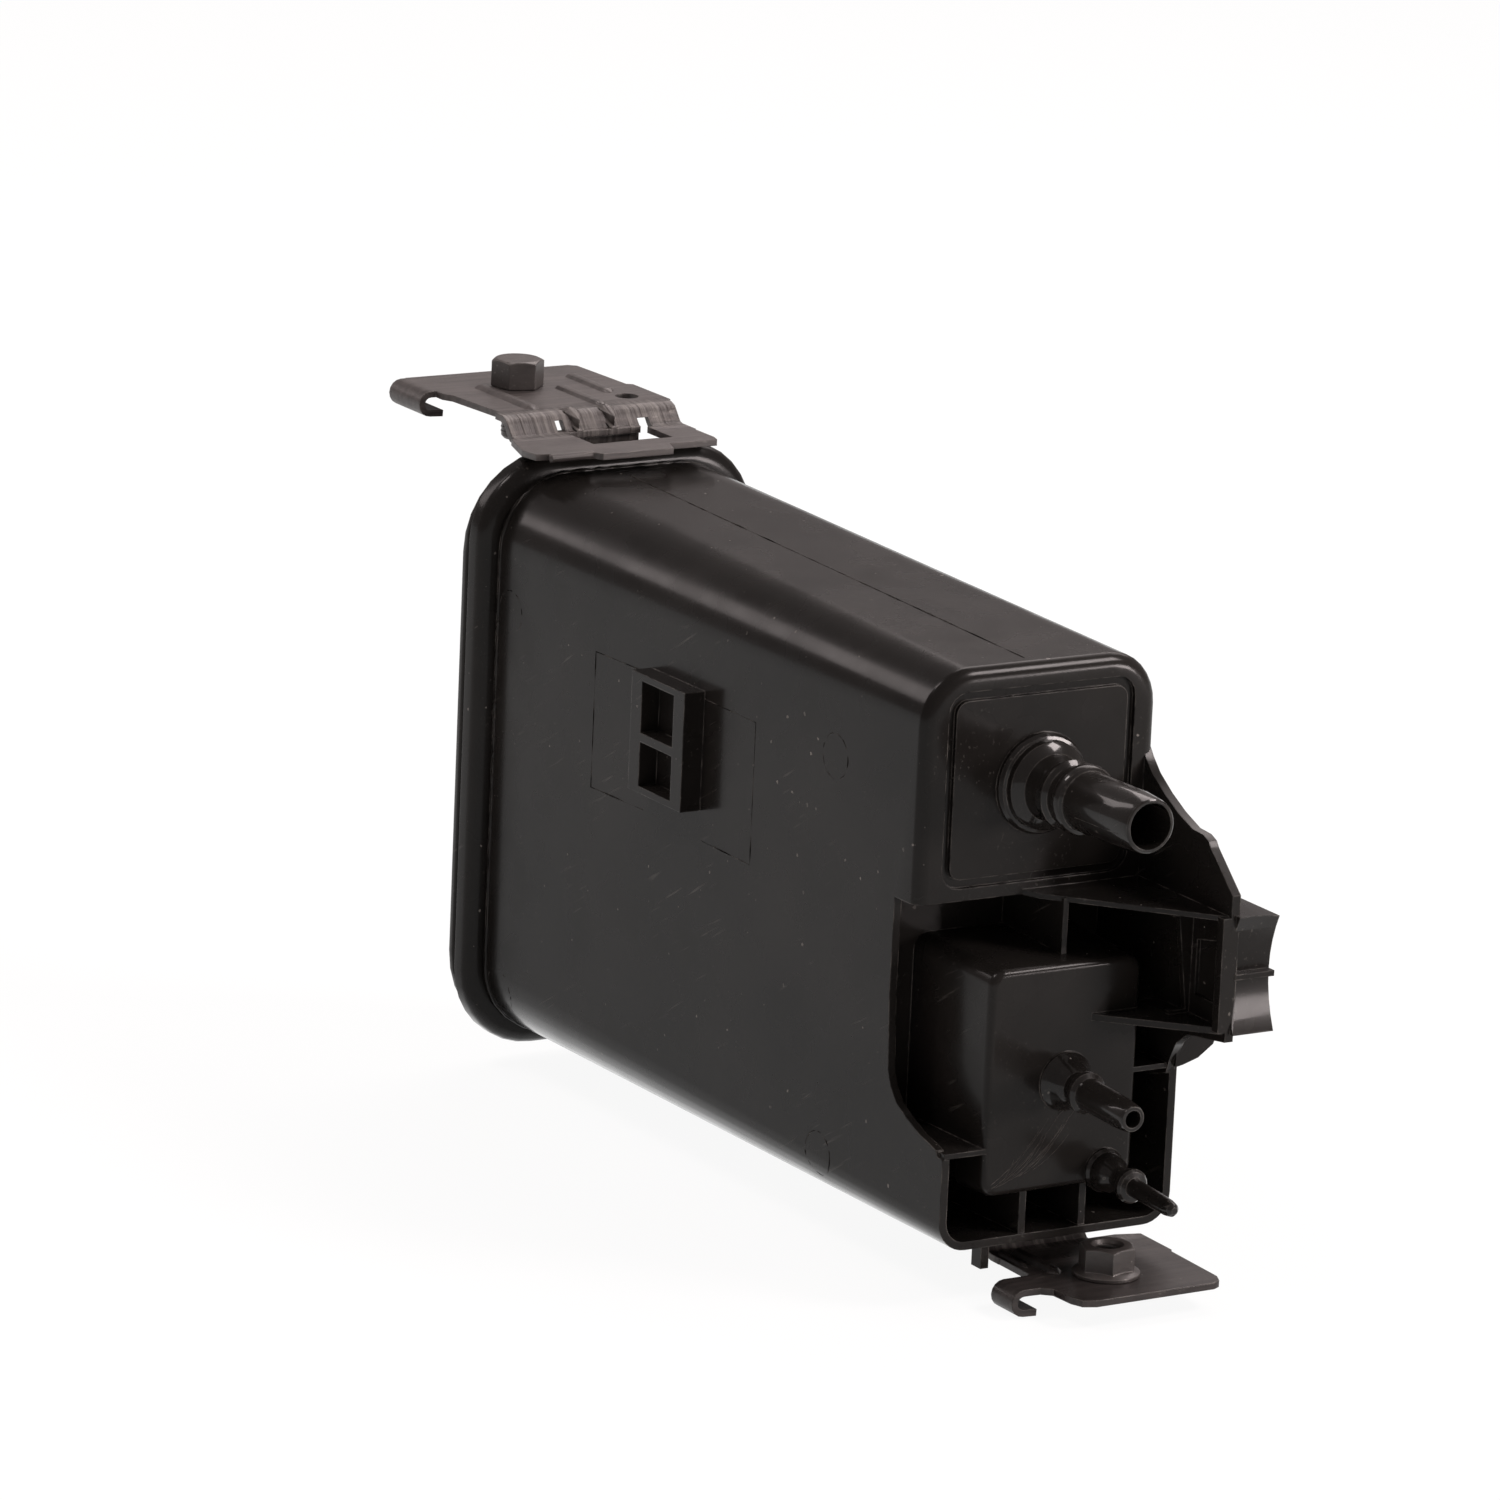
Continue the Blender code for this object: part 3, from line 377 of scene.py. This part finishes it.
def drawn_lines(name):
    """Fine lines that a press tool draws over a bend, near two stations in X: height."""
    inputs = {"Vector": None, "First": 0.0, "Second": 0.0, "Reach": 0.006}
    tree, given, result = effect(name, inputs, Height="NodeSocketFloat")
    along_x = parts_of(tree, given["Vector"])[0]
    zone = 0.0
    for label in ("First", "Second"):
        away = math_node(tree, "ABSOLUTE", math_node(tree, "SUBTRACT", along_x, given[label]))
        part = math_node(tree, "DIVIDE", away, given["Reach"])
        zone = math_node(tree, "MAXIMUM", spread(tree, part, 1.2, 0.8), zone)
    long = vector_math(tree, "MULTIPLY", given["Vector"], (0.05, 1.0, 0.05))
    tree.links.new(times(tree, noise(tree, long, 820.0, 2.0), zone), result["Height"])
    return tree


def port_zone(name):
    """Everything beyond a point in X and within reach of its own Y and Z: mask."""
    tree, given, result = effect(name, {"Vector": None, "Root": None, "Reach": 0.01}, Mask="NodeSocketFloat")
    parts = parts_of(tree, vector_math(tree, "SUBTRACT", given["Vector"], given["Root"]))
    across = put(tree, "ShaderNodeCombineXYZ", {1: parts[1], 2: parts[2]}).outputs[0]
    length = vector_math(tree, "LENGTH", across, output="Value")
    inside = math_node(tree, "LESS_THAN", length, given["Reach"])
    beyond = math_node(tree, "GREATER_THAN", parts[0], 0.0)
    tree.links.new(times(tree, inside, beyond), result["Mask"])
    return tree


def edge_wear_and_glint(name):
    """Outer edges, found where the rounded normal leaves the face's own: mask. Its paler tint is partly
    rubbed wear and partly a painted edge highlight.
    """
    tree, given, result = effect(
        name, {"Vector": None, "Width": 0.0006}, Mask="NodeSocketFloat", Rounded="NodeSocketVector"
    )
    rounded = put(tree, "ShaderNodeBevel", {"Radius": given["Width"]}, samples=4).outputs[0]
    own = put(tree, "ShaderNodeNewGeometry").outputs["Normal"]
    alike = vector_math(tree, "DOT_PRODUCT", rounded, own, output="Value")
    bent = spread(tree, alike, 0.995, 0.86)
    broken = spread(tree, noise(tree, given["Vector"], 190.0, 3.0), 0.40, 0.62)
    tree.links.new(times(tree, bent, broken), result["Mask"])
    tree.links.new(rounded, result["Rounded"])
    return tree


def new_material(name):
    """A material with its Principled shader and object coordinates."""
    material = bpy.data.materials.new(name)
    material.use_nodes = True
    tree = material.node_tree
    shader = tree.nodes["Principled BSDF"]
    place = put(tree, "ShaderNodeTexCoord").outputs["Object"]
    return material, tree, shader, place


def moulded_plastic(name, colour, roughness, scuff=0.5, shine=1.0):
    """Black moulded plastic: uneven tone, grain, dust, scuffs, paler edges that are partly rubbed wear and
    partly painted edge highlights, polished ports and a glossier underside, which mirrors the pale ground."""
    material, tree, shader, place = new_material(name)
    wear_and_glint = fill(tree, "Edge Wear", edge_wear_and_glint, Vector=place, Width=0.5 * MM)
    specks = fill(tree, "Dust Specks", dust_specks, Vector=place, Scale=260.0, Amount=0.2)["Mask"]
    fine = fill(tree, "Dust Specks", dust_specks, Vector=place, Scale=620.0, Amount=0.16)["Mask"]
    scuffs = fill(tree, "Scuff Marks", scuff_marks, Vector=place, Turn=(0.3, 0.5, 0.2), Amount=scuff)["Mask"]
    height = fill(tree, "Mould Grain", mould_grain, Vector=place, Grain=1.0, Flow=2.2)["Height"]
    tone = spread(tree, noise(tree, place, 17.0, 4.0, Roughness=0.6), 0.35, 0.68)
    marks = math_node(tree, "MAXIMUM", specks, times(tree, fine, 0.5))
    base = mix_colour(tree, tone, colour, scaled(colour, 1.7))
    base = stain_and_glint(tree, base, marks, 0.42)
    base = stain_and_glint(tree, base, scuffs, 0.16)
    # Paler outer edges: partly rubbed wear, partly painted edge highlights.
    base = stain_and_glint(tree, base, wear_and_glint["Mask"], 0.28)
    tree.links.new(base, shader.inputs["Base Color"])
    rough = spread(tree, noise(tree, place, 55.0, 3.0), 0.3, 0.7, roughness - 0.07, roughness + 0.09)
    rough = math_node(tree, "ADD", rough, times(tree, marks, 0.3), clamp=True)
    tree.links.new(rough, shader.inputs["Roughness"])
    shader.inputs["Specular IOR Level"].default_value = 0.07 * shine
    polished = 0.0
    for root, reach in PORT_ROOTS:
        zone = fill(tree, "Port Zone", port_zone, Vector=place, Root=root, Reach=reach)
        polished = math_node(tree, "MAXIMUM", zone["Mask"], polished)
    facing = parts_of(tree, put(tree, "ShaderNodeNewGeometry").outputs["Normal"])
    under = spread(tree, facing["Z"], -0.15, -0.7, 0.0, 0.95)
    coat = math_node(tree, "MAXIMUM", spread(tree, polished, 0.0, 1.0, 0.15 * shine, 0.42 * shine), under)
    tree.links.new(coat, shader.inputs["Coat Weight"])
    tree.links.new(spread(tree, polished, 0.0, 1.0, 0.14, 0.07), shader.inputs["Coat Roughness"])
    shader.inputs["Coat IOR"].default_value = 1.45
    bump(tree, shader, Strength=0.16, Distance=0.10 * MM, Height=height, Normal=wear_and_glint["Rounded"])
    return material


def coated_steel(name, colour, roughness, streak=1.0, shine=0.5):
    """Sheet steel under a thin black coating: rolling streaks, mottling, paler edges that are partly rubbed
    wear and partly painted edge highlights, and paler stripes at the bends that are a painted reflection over
    press-drawn relief.
    """
    material, tree, shader, place = new_material(name)
    wear_and_glint = fill(tree, "Edge Wear", edge_wear_and_glint, Vector=place, Width=0.45 * MM)
    specks = fill(tree, "Dust Specks", dust_specks, Vector=place, Scale=420.0, Amount=0.28)["Mask"]
    scuffs = fill(tree, "Scuff Marks", scuff_marks, Vector=place, Turn=(0.1, 0.2, 1.3), Amount=0.8)["Mask"]
    rolled = noise(tree, vector_math(tree, "MULTIPLY", place, (1.0, 0.06, 1.0)), 620.0, 3.0)
    cloud = noise(tree, place, 90.0, 4.0)
    fine = noise(tree, place, 1800.0, 2.0)
    bends = {"First": UPPER_BEND_X, "Second": LOWER_BEND_X, "Reach": 7.0 * MM}
    bend_lines_and_sheen = fill(tree, "Drawn Lines", drawn_lines, Vector=place, **bends)["Height"]
    tone = times(tree, spread(tree, rolled, 0.35, 0.66), streak)
    tone = math_node(tree, "MULTIPLY", math_node(tree, "ADD", tone, cloud), 0.6, clamp=True)
    base = mix_colour(tree, tone, scaled(colour, 0.62), scaled(colour, 1.9))
    # Paler stripes at the bends: a painted reflection, laid over press-drawn lines that are also relief.
    base = stain_and_glint(tree, base, spread(tree, bend_lines_and_sheen, 0.5, 0.6), 0.12 * streak)
    base = stain_and_glint(tree, base, specks, 0.35)
    base = stain_and_glint(tree, base, scuffs, 0.22)
    # Paler outer edges: partly rubbed wear, partly painted edge highlights.
    base = stain_and_glint(tree, base, wear_and_glint["Mask"], 0.24)
    tree.links.new(base, shader.inputs["Base Color"])
    rough = spread(tree, cloud, 0.3, 0.7, roughness - 0.08, roughness + 0.10)
    tree.links.new(rough, shader.inputs["Roughness"])
    shader.inputs["Metallic"].default_value = 0.25
    shader.inputs["Specular IOR Level"].default_value = shine
    relief = math_node(tree, "ADD", times(tree, rolled, 0.8 * streak), fine)
    relief = math_node(tree, "ADD", relief, times(tree, bend_lines_and_sheen, 15.0 * streak))
    bump(tree, shader, Strength=0.28, Distance=0.10 * MM, Height=relief, Normal=wear_and_glint["Rounded"])
    return material


def mottled(name, colour, second, scale, roughness, relief, metallic):
    """A plain inner finish with two tones and a relief of the same grain."""
    material, tree, shader, place = new_material(name)
    cells = put(tree, "ShaderNodeTexVoronoi", {"Vector": place, "Scale": scale}).outputs["Distance"]
    grain = noise(tree, place, scale * 2.0, 3.0)
    tone = math_node(tree, "MULTIPLY", cells, grain, clamp=True)
    tree.links.new(mix_colour(tree, tone, colour, second), shader.inputs["Base Color"])
    rough = spread(tree, grain, 0.3, 0.7, roughness - 0.05, roughness + 0.05)
    tree.links.new(rough, shader.inputs["Roughness"])
    shader.inputs["Metallic"].default_value = metallic
    bump(tree, shader, Strength=0.4, Distance=relief, Height=cells)
    return material


def made_once(name, build, *values, **more):
    return bpy.data.materials.get(name) or build(name, *values, **more)


def housing_plastic():
    finish = finish_settings()
    return made_once("Housing plastic", moulded_plastic, tuple(finish.plastic), finish.plastic_roughness)


def groove_shade_plastic():
    """Plastic darkened to paint the shade of a mould line's groove, laid on raised beads."""
    dark = scaled(finish_settings().plastic, 0.5)
    return made_once("Mould line plastic", moulded_plastic, dark, 0.8, scuff=0.0, shine=0.0)


def scratched_plastic():
    finish = finish_settings()
    pale = scaled(finish.plastic, 9.0)
    return made_once("Scratched plastic", moulded_plastic, pale, finish.plastic_roughness + 0.2)


def cover_plastic():
    finish = finish_settings()
    colour = scaled(finish.plastic, 1.1)
    return made_once("Cover plastic", moulded_plastic, colour, finish.plastic_roughness + 0.02, scuff=0.7)


def bracket_coating():
    finish = finish_settings()
    return made_once("Bracket coating", coated_steel, tuple(finish.steel), finish.steel_roughness)


# The lower bracket's coating: the steel colour darkened to paint the shade that the bracket sits in.
def shaded_bracket_coating():
    finish = finish_settings()
    colour = scaled(finish.steel, 0.6)
    return made_once("Low bracket coating", coated_steel, colour, finish.steel_roughness - 0.1, shine=0.25)


def fastener_coating():
    finish = finish_settings()
    colour = tuple(finish.fastener)
    return made_once("Fastener coating", coated_steel, colour, finish.steel_roughness - 0.06, streak=0.2)


# Mesh building


def place_piece(name, mesh, material):
    piece = bpy.data.objects.new(name, mesh)
    bpy.context.scene.collection.objects.link(piece)
    mesh.materials.append(material)
    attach(piece, "root")
    return piece


def round_edges(bm, edges, width):
    bmesh.ops.bevel(
        bm, geom=edges, offset=width, offset_type="OFFSET", affect="EDGES", segments=2, profile=0.5,
        material=-1, clamp_overlap=True,
    )


def smooth_mesh(bm, name):
    """Turns a bmesh into a mesh that is shaded smooth."""
    mesh = bpy.data.meshes.new(name)
    bm.to_mesh(mesh)
    bm.free()
    mesh.shade_smooth()
    return mesh


def merged_copy(node):
    """A frame node's mesh as one joined surface with its flat faces whole."""
    bm = bmesh.new()
    bm.from_mesh(NODES[node].data)
    bmesh.ops.remove_doubles(bm, verts=bm.verts, dist=JOIN_GAP)
    bmesh.ops.dissolve_limit(bm, angle_limit=FLAT_ANGLE, verts=bm.verts, edges=bm.edges)
    return bm


def surface_of(node):
    bm = bmesh.new()
    bm.from_mesh(NODES[node].data)
    tree = BVHTree.FromBMesh(bm)
    bm.free()
    return tree


def skin_node(name, node, material, edge):
    """A smooth skin that stands for a frame node, with its sharp edges rounded."""
    bm = merged_copy(node)
    sharp = [e for e in bm.edges if e.is_manifold and e.calc_face_angle(0.0) > EDGE_ANGLE]
    round_edges(bm, sharp, edge)
    bmesh.ops.triangulate(bm, faces=[f for f in bm.faces if len(f.verts) > 4])
    mesh = smooth_mesh(bm, name)
    mesh.set_sharp_from_angle(angle=SHADE_ANGLE)
    piece = place_piece(name, mesh, material)
    weighted = piece.modifiers.new("even_shading", "WEIGHTED_NORMAL")
    weighted.keep_sharp = True
    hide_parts(node)


def beads(name, paths, radius, material, closed=False, wobble=0.0, seed=1):
    """Thin round beads along paths, as one mesh piece. The radius may vary along a path."""
    draw = random.Random(seed)
    curve = bpy.data.curves.new(name, "CURVE")
    curve.dimensions = "3D"
    curve.bevel_depth = radius
    curve.bevel_resolution = 1
    curve.use_fill_caps = True
    for path in paths:
        spline = curve.splines.new("POLY")
        spline.points.add(len(path) - 1)
        spline.use_cyclic_u = closed
        for point, place in zip(spline.points, path):
            point.co = (*place, 1.0)
            point.radius = 1.0 + wobble * (draw.random() - 0.5) * 2.0
    helper = bpy.data.objects.new(name + "_line", curve)
    bpy.context.scene.collection.objects.link(helper)
    graph = bpy.context.evaluated_depsgraph_get()
    mesh = bpy.data.meshes.new_from_object(helper.evaluated_get(graph))
    bpy.data.objects.remove(helper)
    mesh.name = name
    mesh.shade_smooth()
    place_piece(name, mesh, material)


# Lines on the surfaces


def laid(surface, starts, direction, sink=0.0):
    """The points where rays from the starts meet a surface, sunk by a little."""
    way = Vector(direction).normalized()
    hits = [surface.ray_cast(Vector(start), way)[0] for start in starts]
    return [hit + way * sink for hit in hits if hit is not None]


def turns(count):
    """Cosine and sine at even steps round a circle."""
    angles = [2.0 * math.pi * k / count for k in range(count)]
    return [(math.cos(a), math.sin(a)) for a in angles]


def helix(centre, radius, z0, z1, pitch, steps=22):
    """A screw line about an upright axis."""
    count = int((z1 - z0) / pitch * steps)
    path = []
    for k in range(count + 1):
        a = 2.0 * math.pi * k / steps
        x = centre[0] + radius * math.cos(a)
        y = centre[1] + radius * math.sin(a)
        path.append((x, y, z0 + (z1 - z0) * k / count))
    return path


def along(points, step):
    """Points at even steps along a polyline."""
    found = []
    for a, b in zip(points, points[1:]):
        a, b = Vector(a), Vector(b)
        count = max(1, int((b - a).length / step))
        found += [a.lerp(b, k / count) for k in range(count)]
    found.append(Vector(points[-1]))
    return found


def side_line(surface, corners, sink, step=4.0 * MM):
    """A line laid on the near side, from (x, z) corners in millimetres."""
    points = along([(x * MM, 0.0, z * MM) for x, z in corners], step)
    starts = [(p.x, CAD_LOW.y - CLEARANCE, p.z) for p in points]
    return laid(surface, starts, (0, 1, 0), sink)


def parting_line(surface, sink):
    """The parting line along the middle of the top."""
    starts = []
    for k in range(PARTING_STEPS + 1):
        x, y = ((at + run * k / PARTING_STEPS) * MM for at, run in zip(PARTING_START, PARTING_RUN))
        starts.append((x, y, CAD_HIGH.z + CLEARANCE))
    return laid(surface, starts, (0, 0, -1), sink)


def pin_ring(surface, x, z, radius, sink):
    """The round mark that an ejector pin leaves on the near side."""
    starts = [(x + radius * c, CAD_LOW.y - CLEARANCE, z + radius * s) for c, s in turns(PIN_STEPS)]
    return laid(surface, starts, (0, 1, 0), sink)


def port_seam(surface, tube, turn, sink):
    """A straight line laid along a port's tube, on the side that turn names."""
    (y, z), true_at, (lean_y, lean_z), (first, last) = tube
    away = Vector((0.0, math.cos(turn), math.sin(turn)))
    starts = []
    for k in range(SEAM_STEPS + 1):
        x = first + (last - first) * k / SEAM_STEPS
        out = x - true_at
        starts.append(Vector((x, y + lean_y * out, z + lean_z * out)) + away * CLEARANCE)
    return laid(surface, starts, -away, sink)


def scratch_starts(draw, number):
    """Points in front of the lower chamber, along one bowed scratch of the fan."""
    start_y = (-21.5 + 0.95 * number + draw.uniform(-0.6, 0.6)) * MM
    start_z = (-59.0 + 0.3 * number + draw.uniform(-0.8, 0.8)) * MM
    reach = draw.uniform(9.0, 23.0) * MM
    rise = math.radians(draw.uniform(38.0, 47.0))
    bow = draw.uniform(0.6, 1.8) * MM
    starts = []
    for k in range(SCRATCH_STEPS + 1):
        t = k / SCRATCH_STEPS
        side = bow * 4.0 * t * (1.0 - t)
        y = start_y + reach * t * math.cos(rise) + side * math.sin(rise)
        z = start_z + reach * t * math.sin(rise) - side * math.cos(rise)
        starts.append((CHAMBER_X + 4.0 * MM, y, z))
    return starts


# Steps


class CANISTER_OT_housing(bpy.types.Operator):
    """Skins the moulded housing"""

    bl_idname = "canister.housing"
    bl_label = "Housing"

    def execute(self, context):
        edge = detail_settings().moulded_edge
        skin_node("housing_skin", "housing", housing_plastic(), edge)
        return {"FINISHED"}


class CANISTER_OT_cover(bpy.types.Operator):
    """Skins the welded end cover"""

    bl_idname = "canister.cover"
    bl_label = "End Cover"

    def execute(self, context):
        edge = detail_settings().moulded_edge
        skin_node("cover_skin", "end_cover", cover_plastic(), edge)
        return {"FINISHED"}


class CANISTER_OT_brackets(bpy.types.Operator):
    """Skins the two stamped steel brackets"""

    bl_idname = "canister.brackets"
    bl_label = "Brackets"

    def execute(self, context):
        edge = detail_settings().pressed_edge
        for node, coating in (("upper_bracket", bracket_coating()), ("lower_bracket", shaded_bracket_coating())):
            skin_node(node + "_skin", node, coating, edge)
        return {"FINISHED"}


class CANISTER_OT_darts(bpy.types.Operator):
    """Raises the two pressed darts on the upper bracket's bend"""

    bl_idname = "canister.darts"
    bl_label = "Darts"

    def execute(self, context):
        bm = bmesh.new()
        for middle in DART_MIDDLES:
            corners = [bm.verts.new((x * MM, (middle + y) * MM, z * MM)) for x, y, z in DART_CORNERS]
            for face in DART_FACES:
                bm.faces.new([corners[k] for k in face])
        bmesh.ops.recalc_face_normals(bm, faces=bm.faces)
        round_edges(bm, list(bm.edges), DART_EDGE)
        place_piece("pressed_darts", smooth_mesh(bm, "pressed_darts"), bracket_coating())
        return {"FINISHED"}


class CANISTER_OT_fasteners(bpy.types.Operator):
    """Skins the bolt and the flange nut, and winds their threads"""

    bl_idname = "canister.fasteners"
    bl_label = "Bolt and Nut"

    def execute(self, context):
        coating = fastener_coating()
        edge, pitch = detail_settings().pressed_edge, detail_settings().thread_pitch
        for node in ("upper_bolt", "lower_nut"):
            skin_node(node + "_skin", node, coating, edge)
        bolt_thread = helix(BOLT_AT, BOLT_THREAD, UPPER_PLATE_Z - 13.6 * MM, UPPER_PLATE_Z - 3.0 * MM, pitch)
        beads("bolt_thread", [bolt_thread], THREAD_WIRE, coating)
        nut_thread = helix(NUT_AT, NUT_THREAD, LOWER_PLATE_Z + 1.2 * MM, LOWER_PLATE_Z + 7.4 * MM, pitch)
        beads("nut_thread", [nut_thread], THREAD_WIRE, coating)
        return {"FINISHED"}


class CANISTER_OT_mould_marks(bpy.types.Operator):
    """Lays the parting line, insert outlines, pin marks and port seams on the housing"""

    bl_idname = "canister.mould_marks"
    bl_label = "Mould Marks"

    def execute(self, context):
        detail = detail_settings()
        surface = surface_of("housing")
        full, thin = detail.mould_line, detail.mould_line * 0.8
        sink = detail.mould_line * 0.45
        # Insert lines, the parting line and pin rings are in darkened plastic: painted groove shade.
        lines = [side_line(surface, corners, sink) for corners in INSERT_OUTLINES]
        beads("insert_lines", lines, full, groove_shade_plastic(), wobble=0.5)
        top = parting_line(surface, sink)
        beads("top_parting_line", [top], full, groove_shade_plastic(), wobble=0.4)
        rings = [pin_ring(surface, x * MM, z * MM, detail.pin_mark, sink * 1.3) for x, z in PIN_PLACES]
        beads("pin_marks", rings, thin, groove_shade_plastic(), closed=True, wobble=0.8)
        seams = [port_seam(surface, tube, turn, sink) for tube in PORT_TUBES for turn in SEAM_TURNS]
        seams = [seam for seam in seams if len(seam) > 1]
        beads("port_seams", seams, thin, housing_plastic())
        return {"FINISHED"}


class CANISTER_OT_scratches(bpy.types.Operator):
    """Draws a fan of handling scratches on the lower chamber"""

    bl_idname = "canister.scratches"
    bl_label = "Scratches"

    def execute(self, context):
        surface = surface_of("housing")
        width = detail_settings().scratch
        draw = random.Random(11)
        arcs = []
        for number in range(SCRATCHES):
            points = laid(surface, scratch_starts(draw, number), (-1, 0, 0), width * 0.5)
            arc = [point for point in points if point.x > CHAMBER_X - 0.2 * MM]
            if len(arc) > 3:
                arcs.append(arc)
        beads("chamber_scratches", arcs, width, scratched_plastic(), wobble=0.5)
        return {"FINISHED"}


class CANISTER_OT_weld_flash(bpy.types.Operator):
    """Runs uneven flash along the weld between the cover and the flange"""

    bl_idname = "canister.weld_flash"
    bl_label = "Weld Flash"

    def execute(self, context):
        surface = surface_of("housing")
        width = detail_settings().weld_bead
        path = []
        for across, up in turns(WELD_STEPS):
            way = Vector((0.0, -across, -up))
            path += laid(surface, [Vector((WELD_X, 0.0, 0.0)) - way * FAR_OUT], way)
        beads(
            "weld_flash", [path], width, housing_plastic(), closed=True, wobble=0.75, seed=5
        )
        return {"FINISHED"}


class CANISTER_OT_inner_pieces(bpy.types.Operator):
    """Finishes the beds, fleeces, grids, plates and springs inside"""

    bl_idname = "canister.inner_pieces"
    bl_label = "Inner Pieces"

    def execute(self, context):
        for words, name, *finish in INNER_FINISHES:
            material = made_once(name, mottled, *finish)
            for key, node in NODES.items():
                if any(word in key for word in words):
                    for place in node.material_slots:
                        place.material = material
        return {"FINISHED"}


class CANISTER_OT_studio(bpy.types.Operator):
    """Sets the floor, the surround, the lamps and the camera"""

    bl_idname = "canister.studio"
    bl_label = "Studio"

    def execute(self, context):
        studio = studio_settings()
        scene = context.scene
        add_floor(scene)
        scene.world = surround()
        for key, size, place in LAMPS:
            add_lamp(scene, key + "_lamp", getattr(studio, key), size, place)
        camera_data = bpy.data.cameras.new("camera")
        camera_data.lens = studio.lens
        camera_data.sensor_width = 36.0
        camera_data.clip_end = 30.0
        camera = bpy.data.objects.new("camera", camera_data)
        camera.location = studio.camera_at
        camera.rotation_euler = studio.camera_turn
        scene.collection.objects.link(camera)
        scene.camera = camera
        scene.view_settings.view_transform = "Standard"
        return {"FINISHED"}


def seen_directly(tree):
    """1 where a camera, glossy or transmitted ray looks, so that all of them see the same pale ground."""
    rays = put(tree, "ShaderNodeLightPath").outputs
    direct = math_node(tree, "MAXIMUM", rays["Is Camera Ray"], rays["Is Glossy Ray"])
    return math_node(tree, "MAXIMUM", direct, rays["Is Transmission Ray"])


def pale_floor():
    material = bpy.data.materials.new("Pale floor")
    material.use_nodes = True
    tree = material.node_tree
    tree.nodes.clear()
    matt = put(tree, "ShaderNodeBsdfDiffuse", {"Color": (*studio_settings().floor, 1.0)})
    glow = put(tree, "ShaderNodeEmission", {"Color": (1.0, 1.0, 1.0, 1.0), "Strength": 1.0})
    share = times(tree, seen_directly(tree), FLOOR_GLOW)
    both = put(tree, "ShaderNodeMixShader", {0: share, 1: matt.outputs[0], 2: glow.outputs[0]})
    put(tree, "ShaderNodeOutputMaterial", {"Surface": both.outputs[0]})
    return material


def add_floor(scene):
    bm = bmesh.new()
    bmesh.ops.create_circle(bm, cap_ends=True, radius=FLOOR_RADIUS, segments=64)
    bmesh.ops.translate(bm, verts=bm.verts, vec=(0.0, 0.0, CAD_LOW.z - FLOOR_GAP))
    mesh = bpy.data.meshes.new("floor")
    bm.to_mesh(mesh)
    bm.free()
    floor = bpy.data.objects.new("floor", mesh)
    scene.collection.objects.link(floor)
    mesh.materials.append(pale_floor())


def surround():
    world = bpy.data.worlds.new("surround")
    world.use_nodes = True
    shade = world.node_tree.nodes["Background"]
    shade.inputs["Color"].default_value = (*studio_settings().tint, 1.0)
    shade.inputs["Strength"].default_value = studio_settings().surround
    return world


def add_lamp(scene, name, power, size, place):
    """An area lamp that faces the middle of the canister."""
    data = bpy.data.lights.new(name, "AREA")
    data.shape = "RECTANGLE"
    data.size, data.size_y = size
    data.energy = power
    data.color = studio_settings().tint
    made = bpy.data.objects.new(name, data)
    middle = (CAD_LOW + CAD_HIGH) / 2.0
    made.location = middle + Vector(place)
    made.rotation_euler = (middle - made.location).to_track_quat("-Z", "Y").to_euler()
    scene.collection.objects.link(made)


class CANISTER_PT_dress(bpy.types.Panel):
    """Lists the canister's settings and steps"""

    bl_label = "Charcoal Canister"
    bl_idname = "CANISTER_PT_dress"
    bl_space_type = "VIEW_3D"
    bl_region_type = "UI"
    bl_category = "Canister"

    def draw(self, context):
        scene = context.scene
        for group in (scene.canister_finish, scene.canister_detail, scene.canister_studio):
            box = self.layout.box()
            for key in group.__annotations__:
                box.prop(group, key)
        for step in STEPS:
            self.layout.operator(step.bl_idname)


STEPS = (
    CANISTER_OT_housing,
    CANISTER_OT_cover,
    CANISTER_OT_brackets,
    CANISTER_OT_darts,
    CANISTER_OT_fasteners,
    CANISTER_OT_mould_marks,
    CANISTER_OT_scratches,
    CANISTER_OT_weld_flash,
    CANISTER_OT_inner_pieces,
    CANISTER_OT_studio,
)
GROUPS = (CanisterFinish, CanisterDetail, CanisterStudio)


def register():
    for cls in (*GROUPS, *STEPS, CANISTER_PT_dress):
        bpy.utils.register_class(cls)
    bpy.types.Scene.canister_finish = bpy.props.PointerProperty(type=CanisterFinish)
    bpy.types.Scene.canister_detail = bpy.props.PointerProperty(type=CanisterDetail)
    bpy.types.Scene.canister_studio = bpy.props.PointerProperty(type=CanisterStudio)


def unregister():
    del bpy.types.Scene.canister_studio
    del bpy.types.Scene.canister_detail
    del bpy.types.Scene.canister_finish
    for cls in (CANISTER_PT_dress, *reversed(STEPS), *reversed(GROUPS)):
        bpy.utils.unregister_class(cls)


def main():
    register()
    bpy.ops.canister.housing()
    bpy.ops.canister.cover()
    bpy.ops.canister.brackets()
    bpy.ops.canister.darts()
    bpy.ops.canister.fasteners()
    bpy.ops.canister.mould_marks()
    bpy.ops.canister.scratches()
    bpy.ops.canister.weld_flash()
    bpy.ops.canister.inner_pieces()
    bpy.ops.canister.studio()


if __name__ == "__main__":
    main()
